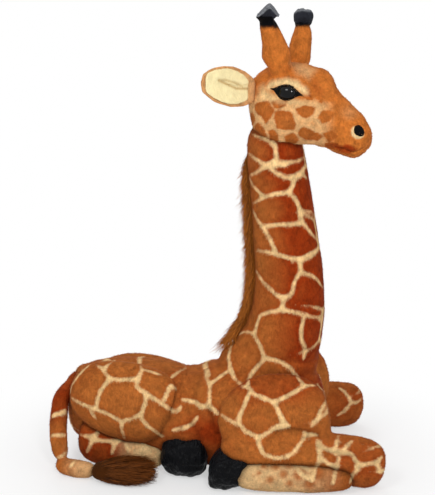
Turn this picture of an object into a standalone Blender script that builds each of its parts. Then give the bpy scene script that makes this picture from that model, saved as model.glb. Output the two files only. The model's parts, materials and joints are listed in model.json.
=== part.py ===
"""Plush giraffe that lies with folded legs, an upright neck and a turned head.

Stuffed forms sit over a bent wire frame. The neck leans on a ball at the chest, the head
turns on the domed top of the neck, the ears fold at their roots and the tail swings at
the rump. Metres, +Z up, +X towards the chest. The animal's right side is at -Y. The
origin is on the flat of the belly, where the toy rests.
"""

import math

import bmesh
import bpy
from mathutils import Matrix, Vector

# Clearances and how hard the toy sits
SEAM_GAP = 0.0004
TURN_GAP = 0.0007
SIT_DEPTH = 0.0005
OVERRUN = 0.004

# Torso
TORSO_REAR_X = -0.236
TORSO_LENGTH = 0.402
TORSO_HEIGHT = 0.160
TORSO_WIDTH = 0.172
HIP_SWAY_WIDTH = 0.058
BELLY_SLUMP = 0.5

# Neck, from the ball in the chest to the dome under the head
NECK_BALL_X = 0.095
NECK_BALL_Z = 0.165
NECK_BALL_RADIUS = 0.0550
NECK_RISE = 0.335
NECK_DEPTH = 0.104
NECK_WIDTH = 0.096
NECK_BELLY = 0.0208
NECK_TOP_X = 0.081
NECK_TOP_RADIUS = 0.0395
NECK_DOME_FOOT = 0.013
NECK_DOME_RISE = 0.036
LEAN_BACK_DEG = 5.0
LEAN_FORWARD_DEG = 8.0

# Head
HEAD_YAW_DEG = -25.0
HEAD_TILT_DEG = -4.5
HEAD_TILT_RISE = 0.040
HEAD_LENGTH = 0.174
HEAD_HEIGHT = 0.118
HEAD_WIDTH = 0.094
HEAD_BACK = 0.035
HEAD_LIFT = 0.046

# Ossicones
OSSICONE_LENGTH = 0.074
OSSICONE_RADIUS = 0.0175
OSSICONE_SPREAD = 0.029
OSSICONE_FORWARD = 0.018
OSSICONE_ROOT_RISE = 0.090
OSSICONE_SUNK = 0.010
OSSICONE_SPLAY_DEG = 20.5
OSSICONE_RAKE_DEG = 7.0
TIP_LENGTH = 0.021

# Ears
EAR_LENGTH = 0.091
EAR_WIDTH = 0.058
EAR_THICKNESS = 0.0075
EAR_CUP = 0.010
EAR_LINING_THICKNESS = 0.0022
EAR_LINING_GAP = 0.0009
EAR_ROOT_BACK = -0.020
EAR_ROOT_SIDE = 0.0290
EAR_ROOT_RISE = 0.058
EAR_TIP_LIFT = 0.008
EAR_BACK_DEG = 31.0
EAR_FOLD_DEG = 20.0

# Eyes
EYE_RADIUS = 0.0115
EYE_DOME = 0.0090
EYE_RIM = 0.0012
EYE_SHANK_RADIUS = 0.0025
EYE_SHANK_LENGTH = 0.016
EYE_FORWARD = 0.0345
EYE_RISE = 0.0568
EYE_SEAT_SIDE = 0.0435
EYE_TOE_DEG = 4.0
LINER_LENGTH = 0.043
LINER_HEIGHT = 0.0215
LINER_THICKNESS = 0.0016
LINER_END_GAP = 0.0024
LINER_LID_GAP = 0.0012
WASHER_RADIUS = 0.0080
WASHER_THICKNESS = 0.0020
WASHER_DEPTH = 0.0060

# Nostrils
NOSTRIL_LENGTH = 0.0150
NOSTRIL_HEIGHT = 0.0110
NOSTRIL_THICKNESS = 0.0050
NOSTRIL_FORWARD = 0.1300
NOSTRIL_SIDE = 0.0240
NOSTRIL_RISE = 0.0090
NOSTRIL_TOE_DEG = 32.0

# Mane
MANE_REACH_SHARE = 0.86
MANE_DEPTH = 0.026
MANE_WIDTH = 0.017
MANE_SETBACK = 0.050
MANE_FOOT_SHARE = 0.075

# Hind legs, about a frame at the hips
HIP_X = -0.130
HIP_Y = 0.053
HIP_YAW_DEG = -8.0
HAUNCH_LENGTH = 0.180
HAUNCH_HEIGHT = 0.136
HAUNCH_WIDTH = 0.078
HAUNCH_SIDE = 0.078
HAUNCH_REAR = -0.084
HAUNCH_LIFT = 0.036
LEFT_HAUNCH_LIFT = 0.003
LEFT_HAUNCH_INSET = 0.014
SHANK_LENGTH = 0.142
SHANK_HEIGHT = 0.086
SHANK_WIDTH = 0.052
SHANK_SIDE = 0.071
SHANK_REAR = -0.075
HIND_HOOF_TUCK = 0.007
HIND_HOOF_OUTSET = 0.016
LEFT_SHANK_SETBACK = 0.022

# Hooves
HIND_HOOF_LENGTH = 0.070
HOOF_LENGTH = 0.060
HOOF_HEIGHT = 0.065
HOOF_WIDTH = 0.057

# Forelegs, each about a frame at its shoulder
SHOULDER_X = 0.070
SHOULDER_Y = 0.090
LEFT_SHOULDER_AHEAD = 0.012
LEFT_SPLAY_DEG = 24.0
SHOULDER_LENGTH = 0.166
SHOULDER_HEIGHT = 0.156
SHOULDER_WIDTH = 0.076
SHOULDER_INSET = 0.022
SHOULDER_REAR = -0.072
SHOULDER_LIFT = 0.012
FOREARM_LENGTH = 0.241
FOREARM_HEIGHT = 0.093
FOREARM_WIDTH = 0.064
FOREARM_REAR = -0.071
CANNON_LENGTH = 0.160
CANNON_HEIGHT = 0.056
CANNON_WIDTH = 0.052
CANNON_OUTSET = 0.013
CANNON_FRONT = 0.130
FORE_HOOF_TUCK = 0.008
FORE_HOOF_OUTSET = 0.002

# Tail, from a ball at the rump round to the right side
TAIL_ROOT_X = -0.226
TAIL_ROOT_Y = 0.045
TAIL_ROOT_Z = 0.120
TAIL_RADIUS = 0.0132
TAIL_DROP_LENGTH = 0.1000
TAIL_SWEEP_LENGTH = 0.1000
TAIL_LOWER_LENGTH = 0.050
TAIL_LOWER_RISE = 0.0135
TUFT_LENGTH = 0.094
TUFT_HEIGHT = 0.034
TUFT_WIDTH = 0.048
TAIL_SWING_DEG = 35.0

# Wire frame inside
WIRE_RADIUS = 0.0030
WIRE_BORE_GAP = 0.0004
SPINE_WIRE_REACH = 0.225
SPINE_WIRE_DEPTH = 0.082
STEM_RISE = 0.040
STEM_REACH = 0.060
WIRE_END_GAP = 0.0006
WIRE_RELIEF_SPARE_DEG = 4.0

# How finely the forms are made
BODY_SIDES = 10
THIGH_SIDES = 8
LIMB_SIDES = 6
BALL_SIDES = 28
BALL_RINGS = 6
SOCKET_SIDES = 20
ROUND_SIDES = 12
WIRE_STEPS = 3
WIRE_ROUND_STEPS = 2

# Forms: along, side, rise, half height, half width and keel, in shares of a form's sizes
TORSO_SHARES = [
    (0.010, 1.00, 0.51, 0.24, 0.22, 0.00),
    (0.085, 1.00, 0.50, 0.41, 0.39, 0.10),
    (0.260, 0.77, 0.495, 0.485, 0.49, 0.34),
    (0.430, 0.32, 0.49, 0.49, 0.49, 0.44),
    (0.590, 0.00, 0.475, 0.485, 0.46, 0.40),
    (0.760, 0.00, 0.52, 0.525, 0.48, 0.20),
    (0.920, 0.00, 0.58, 0.46, 0.43, 0.00),
    (0.995, 0.00, 0.60, 0.25, 0.23, 0.00),
]
NECK_SHARES = [
    (0.000, 0.00, 0.54, 0.58),
    (0.110, 0.06, 0.58, 0.60),
    (0.220, 0.68, 0.51, 0.54),
    (0.400, 0.84, 0.48, 0.48),
    (0.917, 0.04, 0.395, 0.425),
]
NECK_DOME_SHARES = [
    (0.00, 1.00),
    (0.30, 0.95),
    (0.70, 0.70),
    (1.00, 0.26),
]
HEAD_SHARES = [
    (0.000, 0.00, -0.068, 0.22, 0.21, 0.00),
    (0.092, 0.00, -0.042, 0.41, 0.39, 0.00),
    (0.253, 0.00, -0.018, 0.493, 0.50, -0.10),
    (0.431, 0.00, -0.044, 0.502, 0.50, -0.10),
    (0.569, 0.00, -0.090, 0.454, 0.440, 0.04),
    (0.707, 0.00, -0.225, 0.378, 0.362, 0.10),
    (0.833, 0.00, -0.340, 0.315, 0.309, 0.06),
    (0.948, 0.00, -0.434, 0.239, 0.298, 0.00),
    (1.000, 0.00, -0.455, 0.125, 0.181, 0.00),
]
OSSICONE_SHARES = [
    (0.00, 0.92),
    (0.20, 1.02),
    (0.70, 0.81),
    (1.00, 0.72),
]
TIP_SHARES = [
    (-0.20, 0.56),
    (0.06, 0.82),
    (0.70, 0.86),
    (1.00, 0.58),
]
HAUNCH_SHARES = [
    (0.02, 0.00, 0.650, 0.20, 0.25, 0.00),
    (0.24, 0.00, 0.590, 0.40, 0.47, 0.00),
    (0.55, 0.00, 0.490, 0.48, 0.52, 0.00),
    (0.84, 0.00, 0.455, 0.40, 0.43, 0.00),
    (0.99, 0.00, 0.470, 0.20, 0.23, 0.00),
]
SHANK_SHARES = [
    (0.02, 0.00, 0.50, 0.30, 0.26, 0.00),
    (0.22, 0.00, 0.50, 0.50, 0.48, 0.00),
    (0.54, 0.00, 0.40, 0.40, 0.48, 0.00),
    (0.82, 0.00, 0.32, 0.32, 0.46, 0.00),
    (0.99, 0.00, 0.30, 0.23, 0.34, 0.00),
]
SHOULDER_SHARES = [
    (0.02, 0.00, 0.35, 0.20, 0.25, 0.00),
    (0.24, 0.00, 0.44, 0.43, 0.46, 0.00),
    (0.54, 0.00, 0.51, 0.50, 0.52, 0.00),
    (0.84, 0.00, 0.58, 0.38, 0.42, 0.00),
    (0.99, 0.00, 0.61, 0.19, 0.21, 0.00),
]
FOREARM_SHARES = [
    (0.01, 0.00, 0.75, 0.19, 0.25, 0.00),
    (0.15, 0.00, 0.75, 0.29, 0.43, 0.00),
    (0.45, 0.00, 0.71, 0.29, 0.45, 0.00),
    (0.72, 0.00, 0.58, 0.40, 0.48, 0.00),
    (0.92, 0.00, 0.46, 0.45, 0.47, 0.00),
    (1.00, 0.00, 0.45, 0.25, 0.27, 0.00),
]
CANNON_SHARES = [
    (0.01, 0.00, 0.49, 0.36, 0.32, 0.00),
    (0.22, 0.00, 0.49, 0.50, 0.50, 0.00),
    (0.70, 0.00, 0.48, 0.46, 0.47, 0.00),
    (0.98, 0.00, 0.47, 0.38, 0.39, 0.00),
]
HOOF_SHARES = [
    (0.00, 0.00, 0.45, 0.33, 0.35, 0.00),
    (0.30, 0.00, 0.48, 0.48, 0.48, 0.00),
    (0.78, 0.00, 0.50, 0.50, 0.50, 0.00),
    (1.00, 0.00, 0.50, 0.38, 0.38, 0.00),
]
TAIL_UPPER_SHARES = [
    (0.000, 0.00, 0.00, 1.00),
    (-0.100, -0.20, -0.14, 1.00),
    (-0.135, -0.48, -0.42, 1.00),
    (-0.120, -0.73, -0.72, 1.00),
    (-0.040, -0.90, -1.00, 0.94),
]
TAIL_LOWER_SHARES = [
    (-0.18, 0.08, 0.03, 0.86),
    (0.22, -0.12, 0.00, 1.00),
    (0.70, -0.28, 0.00, 1.00),
    (1.00, -0.36, 0.00, 0.80),
]
TUFT_SHARES = [
    (0.00, 0.00, 0.42, 0.33, 0.28, 0.00),
    (0.22, -0.06, 0.46, 0.46, 0.45, 0.00),
    (0.62, -0.12, 0.50, 0.50, 0.50, 0.00),
    (0.98, 0.00, 0.46, 0.32, 0.34, 0.00),
]
MANE_SHARES = [
    (1.000, 1.00, 0.20, 0.28),
    (0.860, 1.00, 0.34, 0.38),
    (0.490, 0.80, 0.36, 0.40),
    (0.240, 0.78, 0.44, 0.46),
    (0.080, 1.10, 0.52, 0.52),
    (0.000, 1.55, 0.36, 0.38),
]
NECK_WIRE_SHARES = [
    (0.00, 0.00),
    (0.30, 0.48),
    (0.62, 0.22),
    (1.00, 0.00),
]
SPINE_WIRE_SHARES = [
    (0.00, 0.00, 0.00),
    (0.00, 0.00, 0.50),
    (0.10, 0.00, 0.92),
    (0.42, 0.06, 1.00),
    (1.00, 0.62, 0.96),
]
EAR_SHARES = [(-0.03, 0.46), (0.24, 0.86), (0.50, 1.04), (0.80, 0.86), (1.00, 0.42)]
LINING_SHARES = [(0.15, 0.50), (0.40, 0.86), (0.67, 0.88), (0.93, 0.48)]
EAR_ACROSS_SHARES = [-1.0, -0.5, 0.0, 0.5, 1.0]
DOME_RINGS = 4
DOME_SKIRT_SHARE = 1.06
MERGE_DISTANCE = 0.00005
SIDES = {"right": -1, "left": 1}

COLOURS = {
    "patch_plush": ((0.42, 0.15, 0.05), 0.90, 0.0),
    "cream_plush": ((0.85, 0.76, 0.52), 0.90, 0.0),
    "hoof_plush": ((0.015, 0.015, 0.018), 0.60, 0.0),
    "tip_plush": ((0.045, 0.05, 0.06), 0.75, 0.0),
    "mane_fur": ((0.26, 0.10, 0.03), 0.95, 0.0),
    "tuft_fur": ((0.12, 0.04, 0.01), 0.95, 0.0),
    "eye_plastic": ((0.01, 0.006, 0.004), 0.06, 0.0),
    "liner_felt": ((0.01, 0.01, 0.01), 0.80, 0.0),
    "washer_plastic": ((0.8, 0.8, 0.8), 0.45, 0.0),
    "frame_wire": ((0.55, 0.56, 0.58), 0.35, 1.0),
}


def clear_scene():
    for ob in list(bpy.data.objects):
        bpy.data.objects.remove(ob, do_unlink=True)


def new_collection(name):
    found = bpy.data.collections.new(name)
    bpy.context.scene.collection.children.link(found)
    return found


def finish_of(name):
    """The material of this name, made the first time it is asked for."""
    if name in bpy.data.materials:
        return bpy.data.materials[name]
    colour, roughness, metallic = COLOURS[name]
    made = bpy.data.materials.new(name)
    made.use_nodes = True
    shader = made.node_tree.nodes["Principled BSDF"]
    shader.inputs["Base Color"].default_value = (*colour, 1.0)
    shader.inputs["Roughness"].default_value = roughness
    shader.inputs["Metallic"].default_value = metallic
    made.diffuse_color = (*colour, 1.0)
    return made


def place(name, mesh, finish, parent=None):
    """A piece of the toy, whose mesh is in its parent's coordinates."""
    ob = bpy.data.objects.new(name, mesh)
    GIRAFFE.objects.link(ob)
    if finish:
        mesh.materials.append(finish_of(finish))
    ob.parent = parent
    return ob


def pivot(name, at, turn_deg=0.0, parent=None):
    """An empty on a joint's axis, or at the root of a limb, turned about +Z."""
    ob = bpy.data.objects.new(name, None)
    ob.empty_display_size = OVERRUN
    GIRAFFE.objects.link(ob)
    ob.location = at
    ob.rotation_euler = (0.0, 0.0, math.radians(turn_deg))
    ob.parent = parent
    bpy.context.view_layer.update()
    return ob


def mesh_from(bm, name):
    bmesh.ops.recalc_face_normals(bm, faces=bm.faces[:])
    mesh = bpy.data.meshes.new(name)
    bm.to_mesh(mesh)
    bm.free()
    mesh.shade_smooth()
    return mesh


def loft(name, rows, sides, reference, slump=1.0):
    """A closed cage through rings of unlike size. A row is a centre, two half sizes and a
    keel, which is the share by which the lower half narrows. A slump under 1 spreads the
    underside flat."""
    swell = 8 / (6 + 2 * math.cos(2 * math.pi / sides))
    bm = bmesh.new()
    rings = []
    for i, (centre, tall, wide, keel) in enumerate(rows):
        before = rows[max(i - 1, 0)][0]
        after = rows[min(i + 1, len(rows) - 1)][0]
        along = (after - before).normalized()
        across = reference.cross(along).normalized()
        upward = along.cross(across)
        ring = []
        for j in range(sides):
            turn = 2 * math.pi * j / sides
            lift = math.sin(turn)
            narrow = 1 - keel * max(-lift, 0.0)
            if lift < 0:
                lift = -abs(lift) ** slump
            out = across * (wide * narrow * math.cos(turn)) + upward * (tall * lift)
            ring.append(bm.verts.new(centre + out * swell))
        rings.append(ring)
    for low, high in zip(rings, rings[1:]):
        for j in range(sides):
            k = (j + 1) % sides
            bm.faces.new((low[j], low[k], high[k], high[j]))
    bm.faces.new(rings[0])
    bm.faces.new(rings[-1])
    return mesh_from(bm, name)


def soften(ob, levels=1):
    """Rounds a cage, and fixes its facets so that neighbours are cut by the same ones."""
    rounding = ob.modifiers.new("Stuffing", "SUBSURF")
    rounding.levels = levels
    rounding.render_levels = levels
    facets = ob.modifiers.new("Facets", "TRIANGULATE")
    facets.quad_method = "FIXED"
    return ob


def stuffed(name, shares, corner, sizes, finish, sides=LIMB_SIDES, parent=None):
    """A stuffed form along +X. corner is where its shares start, sizes are its length,
    height and width."""
    length, height, width = sizes
    rows = [
        (
            corner + Vector((a * length, s * width, r * height)),
            tall * height,
            wide * width,
            keel,
        )
        for a, s, r, tall, wide, keel in shares
    ]
    mesh = loft(name, rows, sides, Vector((0, 0, 1)))
    return soften(place(name, mesh, finish, parent))


def read(ob):
    """The object's mesh as the viewport shows it."""
    graph = bpy.context.evaluated_depsgraph_get()
    return bpy.data.meshes.new_from_object(ob.evaluated_get(graph), depsgraph=graph)


def set_down(ob):
    """Lowers or lifts a form until the floor would press it flat by SIT_DEPTH."""
    bpy.context.view_layer.update()
    mesh = read(ob)
    lowest = min((ob.matrix_world @ v.co).z for v in mesh.vertices)
    bpy.data.meshes.remove(mesh)
    ob.location.z -= lowest + SIT_DEPTH
    bpy.context.view_layer.update()
    return ob


def as_cutter(ob):
    for owner in list(ob.users_collection):
        owner.objects.unlink(ob)
    CUTTERS.objects.link(ob)
    ob.hide_render = True
    ob.display_type = "WIRE"
    return ob


def grown(ob, gap, turn=None):
    """A cutter that stands off from a form by the gap, and may be turned in the world."""
    bpy.context.view_layer.update()
    copy = bpy.data.objects.new(ob.name + "_cutter", ob.data)
    GIRAFFE.objects.link(copy)
    for step in ob.modifiers:
        if step.type == "SUBSURF":
            soften(copy, step.levels)
        if step.type == "SOLIDIFY":
            twin = copy.modifiers.new(step.name, "SOLIDIFY")
            twin.thickness = step.thickness
            twin.offset = step.offset
    puff = copy.modifiers.new("Gap", "DISPLACE")
    puff.strength = gap
    puff.mid_level = 0.0
    copy.matrix_world = (turn or Matrix()) @ ob.matrix_world
    return as_cutter(copy)


def cut(ob, *cutters):
    for cutter in cutters:
        step = ob.modifiers.new("Cut " + cutter.name, "BOOLEAN")
        step.operation = "DIFFERENCE"
        step.solver = "EXACT"
        step.object = cutter
    return ob


def join_on(ob, other):
    step = ob.modifiers.new("Join " + other.name, "BOOLEAN")
    step.operation = "UNION"
    step.solver = "EXACT"
    step.object = other
    return ob


def turned(name, profile, steps, parent=None, finish=None):
    """A solid turned about +Z from a profile of (radius, height) points, top to bottom. A
    profile that doesn't reach the axis is closed into a ring."""
    bm = bmesh.new()
    points = [bm.verts.new((radius, 0.0, height)) for radius, height in profile]
    for first, second in zip(points, points[1:]):
        bm.edges.new((first, second))
    if profile[0][0] and profile[-1][0]:
        bm.edges.new((points[-1], points[0]))
    mesh = bpy.data.meshes.new(name)
    bm.to_mesh(mesh)
    bm.free()
    ob = place(name, mesh, finish, parent)
    lathe = ob.modifiers.new("Lathe", "SCREW")
    lathe.steps = steps
    lathe.render_steps = steps
    lathe.use_merge_vertices = True
    lathe.merge_threshold = MERGE_DISTANCE
    lathe.use_smooth_shade = True
    return ob


def ball(name, radius, sides, at, poles=(0.0, 0.0, 1.0)):
    """A ball as a cutter. Its poles lie on the axis it turns about, so that its rings nest."""
    bm = bmesh.new()
    bmesh.ops.create_uvsphere(bm, u_segments=sides, v_segments=BALL_RINGS, radius=radius)
    ob = place(name, mesh_from(bm, name), None)
    ob.rotation_euler = Vector(poles).to_track_quat("Z", "X").to_euler()
    ob.location = at
    return as_cutter(ob)


def rod(name, points, radius, finish=None, parent=None):
    """A round wire along a smooth line through the points, as a closed mesh."""
    curve = bpy.data.curves.new(name, "CURVE")
    curve.dimensions = "3D"
    curve.bevel_depth = radius
    curve.bevel_resolution = WIRE_ROUND_STEPS
    curve.use_fill_caps = True
    line = smooth_line(points)
    spline = curve.splines.new("POLY")
    spline.points.add(len(line) - 1)
    for point, at in zip(spline.points, line):
        point.co = (*at, 1.0)
    ob = bpy.data.objects.new(name, curve)
    GIRAFFE.objects.link(ob)
    ob.parent = parent
    bpy.context.view_layer.update()
    bm = bmesh.new()
    bm.from_mesh(read(ob))
    bpy.data.objects.remove(ob, do_unlink=True)
    bmesh.ops.remove_doubles(bm, verts=bm.verts[:], dist=MERGE_DISTANCE)
    return place(name, mesh_from(bm, name), finish, parent)


def smooth_line(points, steps=WIRE_STEPS):
    """Points along a Catmull-Rom curve through the given points."""
    ends = [points[0] * 2 - points[1], *points, points[-1] * 2 - points[-2]]
    line = []
    for a, b, c, d in zip(ends, ends[1:], ends[2:], ends[3:]):
        for i in range(steps):
            t = i / steps
            line.append(
                b
                + (c - a) * (t / 2)
                + (a * 2 - b * 5 + c * 4 - d) * (t * t / 2)
                + (b * 3 - a - c * 3 + d) * (t * t * t / 2)
            )
    line.append(points[-1])
    return line


def about(point, axis, degrees):
    """A turn about an axis through a point in the world."""
    there = Matrix.Translation(point)
    return there @ Matrix.Rotation(math.radians(degrees), 4, axis) @ there.inverted()


def make_floor():
    """The floor that presses the stuffed forms flat, as a cutter."""
    bm = bmesh.new()
    bmesh.ops.create_cube(bm, size=1.0)
    reach = TORSO_LENGTH * 2
    bmesh.ops.scale(bm, vec=(reach, reach, TORSO_HEIGHT), verts=bm.verts[:])
    bmesh.ops.translate(bm, vec=(0.0, 0.0, -TORSO_HEIGHT / 2), verts=bm.verts[:])
    return as_cutter(place("floor_cutter", mesh_from(bm, "floor"), None))


def make_torso():
    rows = []
    for along, sway, rise, tall, wide, keel in TORSO_SHARES:
        x = TORSO_REAR_X + along * TORSO_LENGTH
        centre = Vector((x, sway * HIP_SWAY_WIDTH, rise * TORSO_HEIGHT))
        rows.append((centre, tall * TORSO_HEIGHT, wide * TORSO_WIDTH, keel))
    mesh = loft("torso", rows, BODY_SIDES, Vector((0, 0, 1)), BELLY_SLUMP)
    return set_down(soften(place("torso", mesh, "patch_plush")))


def make_neck(frame):
    """The neck in its pivot's coordinates: a tapering form with a domed top, on a ball."""
    lean = NECK_TOP_X - NECK_BALL_X
    rows = []
    for rise, belly, tall, wide in NECK_SHARES:
        centre = Vector((lean * rise + NECK_BELLY * belly, 0.0, rise * NECK_RISE))
        rows.append((centre, tall * NECK_DEPTH, wide * NECK_WIDTH, 0.0))
    for rise, radius in NECK_DOME_SHARES:
        centre = Vector((lean, 0.0, NECK_RISE - NECK_DOME_FOOT + rise * NECK_DOME_RISE))
        rows.append((centre, radius * NECK_TOP_RADIUS, radius * NECK_TOP_RADIUS, 0.0))
    mesh = loft("neck", rows, BODY_SIDES, Vector((1, 0, 0)))
    return soften(place("neck", mesh, "patch_plush", frame))


def make_dome_socket(frame):
    """The hollow under the head in which the neck's domed top turns, as a cutter."""
    start = -NECK_DOME_FOOT
    rows = [
        (radius * NECK_TOP_RADIUS, start + rise * NECK_DOME_RISE) for rise, radius in NECK_DOME_SHARES
    ]
    profile = [(0.0, rows[-1][1] + TURN_GAP)]
    profile += [(radius + TURN_GAP, height + TURN_GAP) for radius, height in reversed(rows)]
    low = start - NECK_DOME_RISE
    profile += [(NECK_TOP_RADIUS * DOME_SKIRT_SHARE + TURN_GAP, low), (0.0, low)]
    return as_cutter(turned("dome_socket", profile, SOCKET_SIDES, frame))


def make_head(frame):
    corner = Vector((-HEAD_BACK, 0.0, HEAD_LIFT))
    sizes = (HEAD_LENGTH, HEAD_HEIGHT, HEAD_WIDTH)
    return stuffed("head", HEAD_SHARES, corner, sizes, "patch_plush", BODY_SIDES, frame)


def make_ossicone(side_name, side, frame, head):
    """A horn stalk and its dark cap, splayed sideways and raked back from the crown."""
    splay = math.radians(OSSICONE_SPLAY_DEG)
    rake = math.radians(OSSICONE_RAKE_DEG)
    upright = math.cos(splay) * math.cos(rake)
    along = Vector((-math.sin(rake), side * math.sin(splay), upright)).normalized()
    root = Vector((OSSICONE_FORWARD, side * OSSICONE_SPREAD, OSSICONE_ROOT_RISE))
    root -= along * OSSICONE_SUNK
    length = OSSICONE_LENGTH + OSSICONE_SUNK
    rows = [
        (root + along * (t * length), r * OSSICONE_RADIUS, r * OSSICONE_RADIUS, 0.0)
        for t, r in OSSICONE_SHARES
    ]
    mesh = loft(side_name + "_ossicone", rows, LIMB_SIDES, Vector((1, 0, 0)))
    stalk = soften(place(side_name + "_ossicone", mesh, "patch_plush", frame))
    top = root + along * length
    rows = [
        (top + along * (t * TIP_LENGTH), r * OSSICONE_RADIUS, r * OSSICONE_RADIUS, 0.0)
        for t, r in TIP_SHARES
    ]
    mesh = loft(side_name + "_ossicone_tip", rows, LIMB_SIDES, Vector((1, 0, 0)))
    tip = soften(place(side_name + "_ossicone_tip", mesh, "tip_plush", frame))
    cut(tip, grown(stalk, SEAM_GAP))
    cut(stalk, grown(head, SEAM_GAP))


def ear_sheet(name, shares, facing):
    """A cupped leaf in the ear's own coordinates: +X outwards along it, +Z up across it."""
    bm = bmesh.new()
    rings = []
    for along, wide in shares:
        ring = []
        for across in EAR_ACROSS_SHARES:
            off = across * wide
            rise = off * EAR_WIDTH / 2 + along * EAR_TIP_LIFT
            at = (along * EAR_LENGTH, facing * off * off * EAR_CUP, rise)
            ring.append(bm.verts.new(at))
        rings.append(ring)
    for low, high in zip(rings, rings[1:]):
        for j in range(len(low) - 1):
            corners = (low[j], high[j], high[j + 1], low[j + 1])
            bm.faces.new(corners if facing < 0 else corners[::-1])
    mesh = bpy.data.meshes.new(name)
    bm.to_mesh(mesh)
    bm.free()
    mesh.shade_smooth()
    return mesh


def make_ear(side_name, side, frame, head):
    """An ear and its lining on their own pivot, and the slot that the root has in the head."""
    at = Vector((EAR_ROOT_BACK, side * EAR_ROOT_SIDE, EAR_ROOT_RISE))
    root = pivot(side_name + "_ear_pivot", at, side * (90.0 + EAR_BACK_DEG), frame)
    facing = -side
    name = side_name + "_ear"
    ear = place(name, ear_sheet(name, EAR_SHARES, facing), "patch_plush", root)
    plush = ear.modifiers.new("Plush", "SOLIDIFY")
    plush.thickness = EAR_THICKNESS
    plush.offset = 0.0
    soften(ear)
    name += "_lining"
    lining = place(name, ear_sheet(name, LINING_SHARES, facing), "cream_plush", root)
    lift = lining.modifiers.new("Lift", "DISPLACE")
    lift.strength = EAR_THICKNESS / 2 + EAR_LINING_GAP + EAR_LINING_THICKNESS / 2
    lift.mid_level = 0.0
    sheet = lining.modifiers.new("Sheet", "SOLIDIFY")
    sheet.thickness = EAR_LINING_THICKNESS
    sheet.offset = 0.0
    soften(lining)
    centre = root.matrix_world.translation
    axis = root.matrix_world.to_3x3() @ Vector((0, 0, 1))
    for turn in (-EAR_FOLD_DEG, EAR_FOLD_DEG):
        cut(head, grown(ear, TURN_GAP, about(centre, axis, turn)))


def face_seat(name, at, side, toe_deg, frame):
    """An empty on the face whose +Z points out of it and whose +X runs towards the nose."""
    ob = pivot(name, at, 0.0, frame)
    ob.rotation_euler = (math.radians(-side * 90.0), 0.0, math.radians(-side * toe_deg))
    bpy.context.view_layer.update()
    return ob


def almond(name, sizes, hole, finish, frame):
    """A flat almond with pointed corners, whose top lies at height zero, as a closed mesh."""
    length, height, thickness = sizes
    curve = bpy.data.curves.new(name, "CURVE")
    curve.dimensions = "2D"
    curve.fill_mode = "BOTH"
    curve.extrude = thickness / 2
    half = ROUND_SIDES // 2
    edge = []
    for i in range(2 * half):
        run = -1 + 2 * i / half if i < half else 3 - 2 * i / half
        lid = (1 - run * run) * height / 2
        edge.append((run * length / 2, lid if i < half else -lid))
    loops = [edge]
    if hole:
        turns = [2 * math.pi * i / ROUND_SIDES for i in range(ROUND_SIDES)]
        loops.append([(hole * math.cos(t), hole * math.sin(t)) for t in turns])
    for points in loops:
        spline = curve.splines.new("POLY")
        spline.use_cyclic_u = True
        spline.points.add(len(points) - 1)
        for point, (x, y) in zip(spline.points, points):
            point.co = (x, y, 0.0, 1.0)
    flat = bpy.data.objects.new(name, curve)
    GIRAFFE.objects.link(flat)
    bpy.context.view_layer.update()
    bm = bmesh.new()
    bm.from_mesh(read(flat))
    bpy.data.objects.remove(flat, do_unlink=True)
    bmesh.ops.remove_doubles(bm, verts=bm.verts[:], dist=MERGE_DISTANCE)
    bmesh.ops.translate(bm, vec=(0.0, 0.0, -thickness / 2), verts=bm.verts[:])
    return place(name, mesh_from(bm, name), finish, frame)


def make_eye(side_name, side, frame, head):
    """A safety eye, the felt behind it and the washer that locks it inside the head."""
    name = side_name + "_eye"
    at = Vector((EYE_FORWARD, side * EYE_SEAT_SIDE, EYE_RISE))
    seat = face_seat(name + "_seat", at, side, EYE_TOE_DEG, frame)
    dome = [
        (
            EYE_RADIUS * math.sin(math.pi / 2 * i / DOME_RINGS),
            EYE_RIM + (EYE_DOME - EYE_RIM) * math.cos(math.pi / 2 * i / DOME_RINGS),
        )
        for i in range(DOME_RINGS + 1)
    ]
    shank = [(EYE_RADIUS, 0.0), (EYE_SHANK_RADIUS, 0.0)]
    shank += [(EYE_SHANK_RADIUS, -EYE_SHANK_LENGTH), (0.0, -EYE_SHANK_LENGTH)]
    turned(name, dome + shank, ROUND_SIDES, seat, "eye_plastic")
    hole = EYE_SHANK_RADIUS + SEAM_GAP
    sizes = (LINER_LENGTH, LINER_HEIGHT, LINER_THICKNESS)
    liner = almond(name + "_liner", sizes, hole, "liner_felt", seat)
    liner.location.z = -SEAM_GAP
    top = -WASHER_DEPTH
    low = top - WASHER_THICKNESS
    ring = [(hole, top), (WASHER_RADIUS, top), (WASHER_RADIUS, low), (hole, low)]
    turned(name + "_washer", ring, ROUND_SIDES, seat, "washer_plastic")
    bore = hole + SEAM_GAP
    pocket = WASHER_RADIUS + SEAM_GAP
    rim = EYE_RADIUS + SEAM_GAP
    profile = [
        (0.0, EYE_DOME + OVERRUN),
        (rim, EYE_DOME + OVERRUN),
        (rim, -SEAM_GAP),
        (bore, -SEAM_GAP),
        (bore, top + SEAM_GAP),
        (pocket, top + SEAM_GAP),
        (pocket, low - SEAM_GAP),
        (bore, low - SEAM_GAP),
        (bore, -EYE_SHANK_LENGTH - SEAM_GAP),
        (0.0, -EYE_SHANK_LENGTH - SEAM_GAP),
    ]
    cut(head, as_cutter(turned(name + "_pocket", profile, ROUND_SIDES, seat)))
    deep = LINER_THICKNESS + SEAM_GAP * 2 + OVERRUN * 2
    sizes = (LINER_LENGTH + LINER_END_GAP, LINER_HEIGHT + LINER_LID_GAP, deep)
    recess = almond(name + "_liner_recess", sizes, 0.0, None, seat)
    recess.location.z = OVERRUN * 2
    cut(head, as_cutter(recess))


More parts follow.
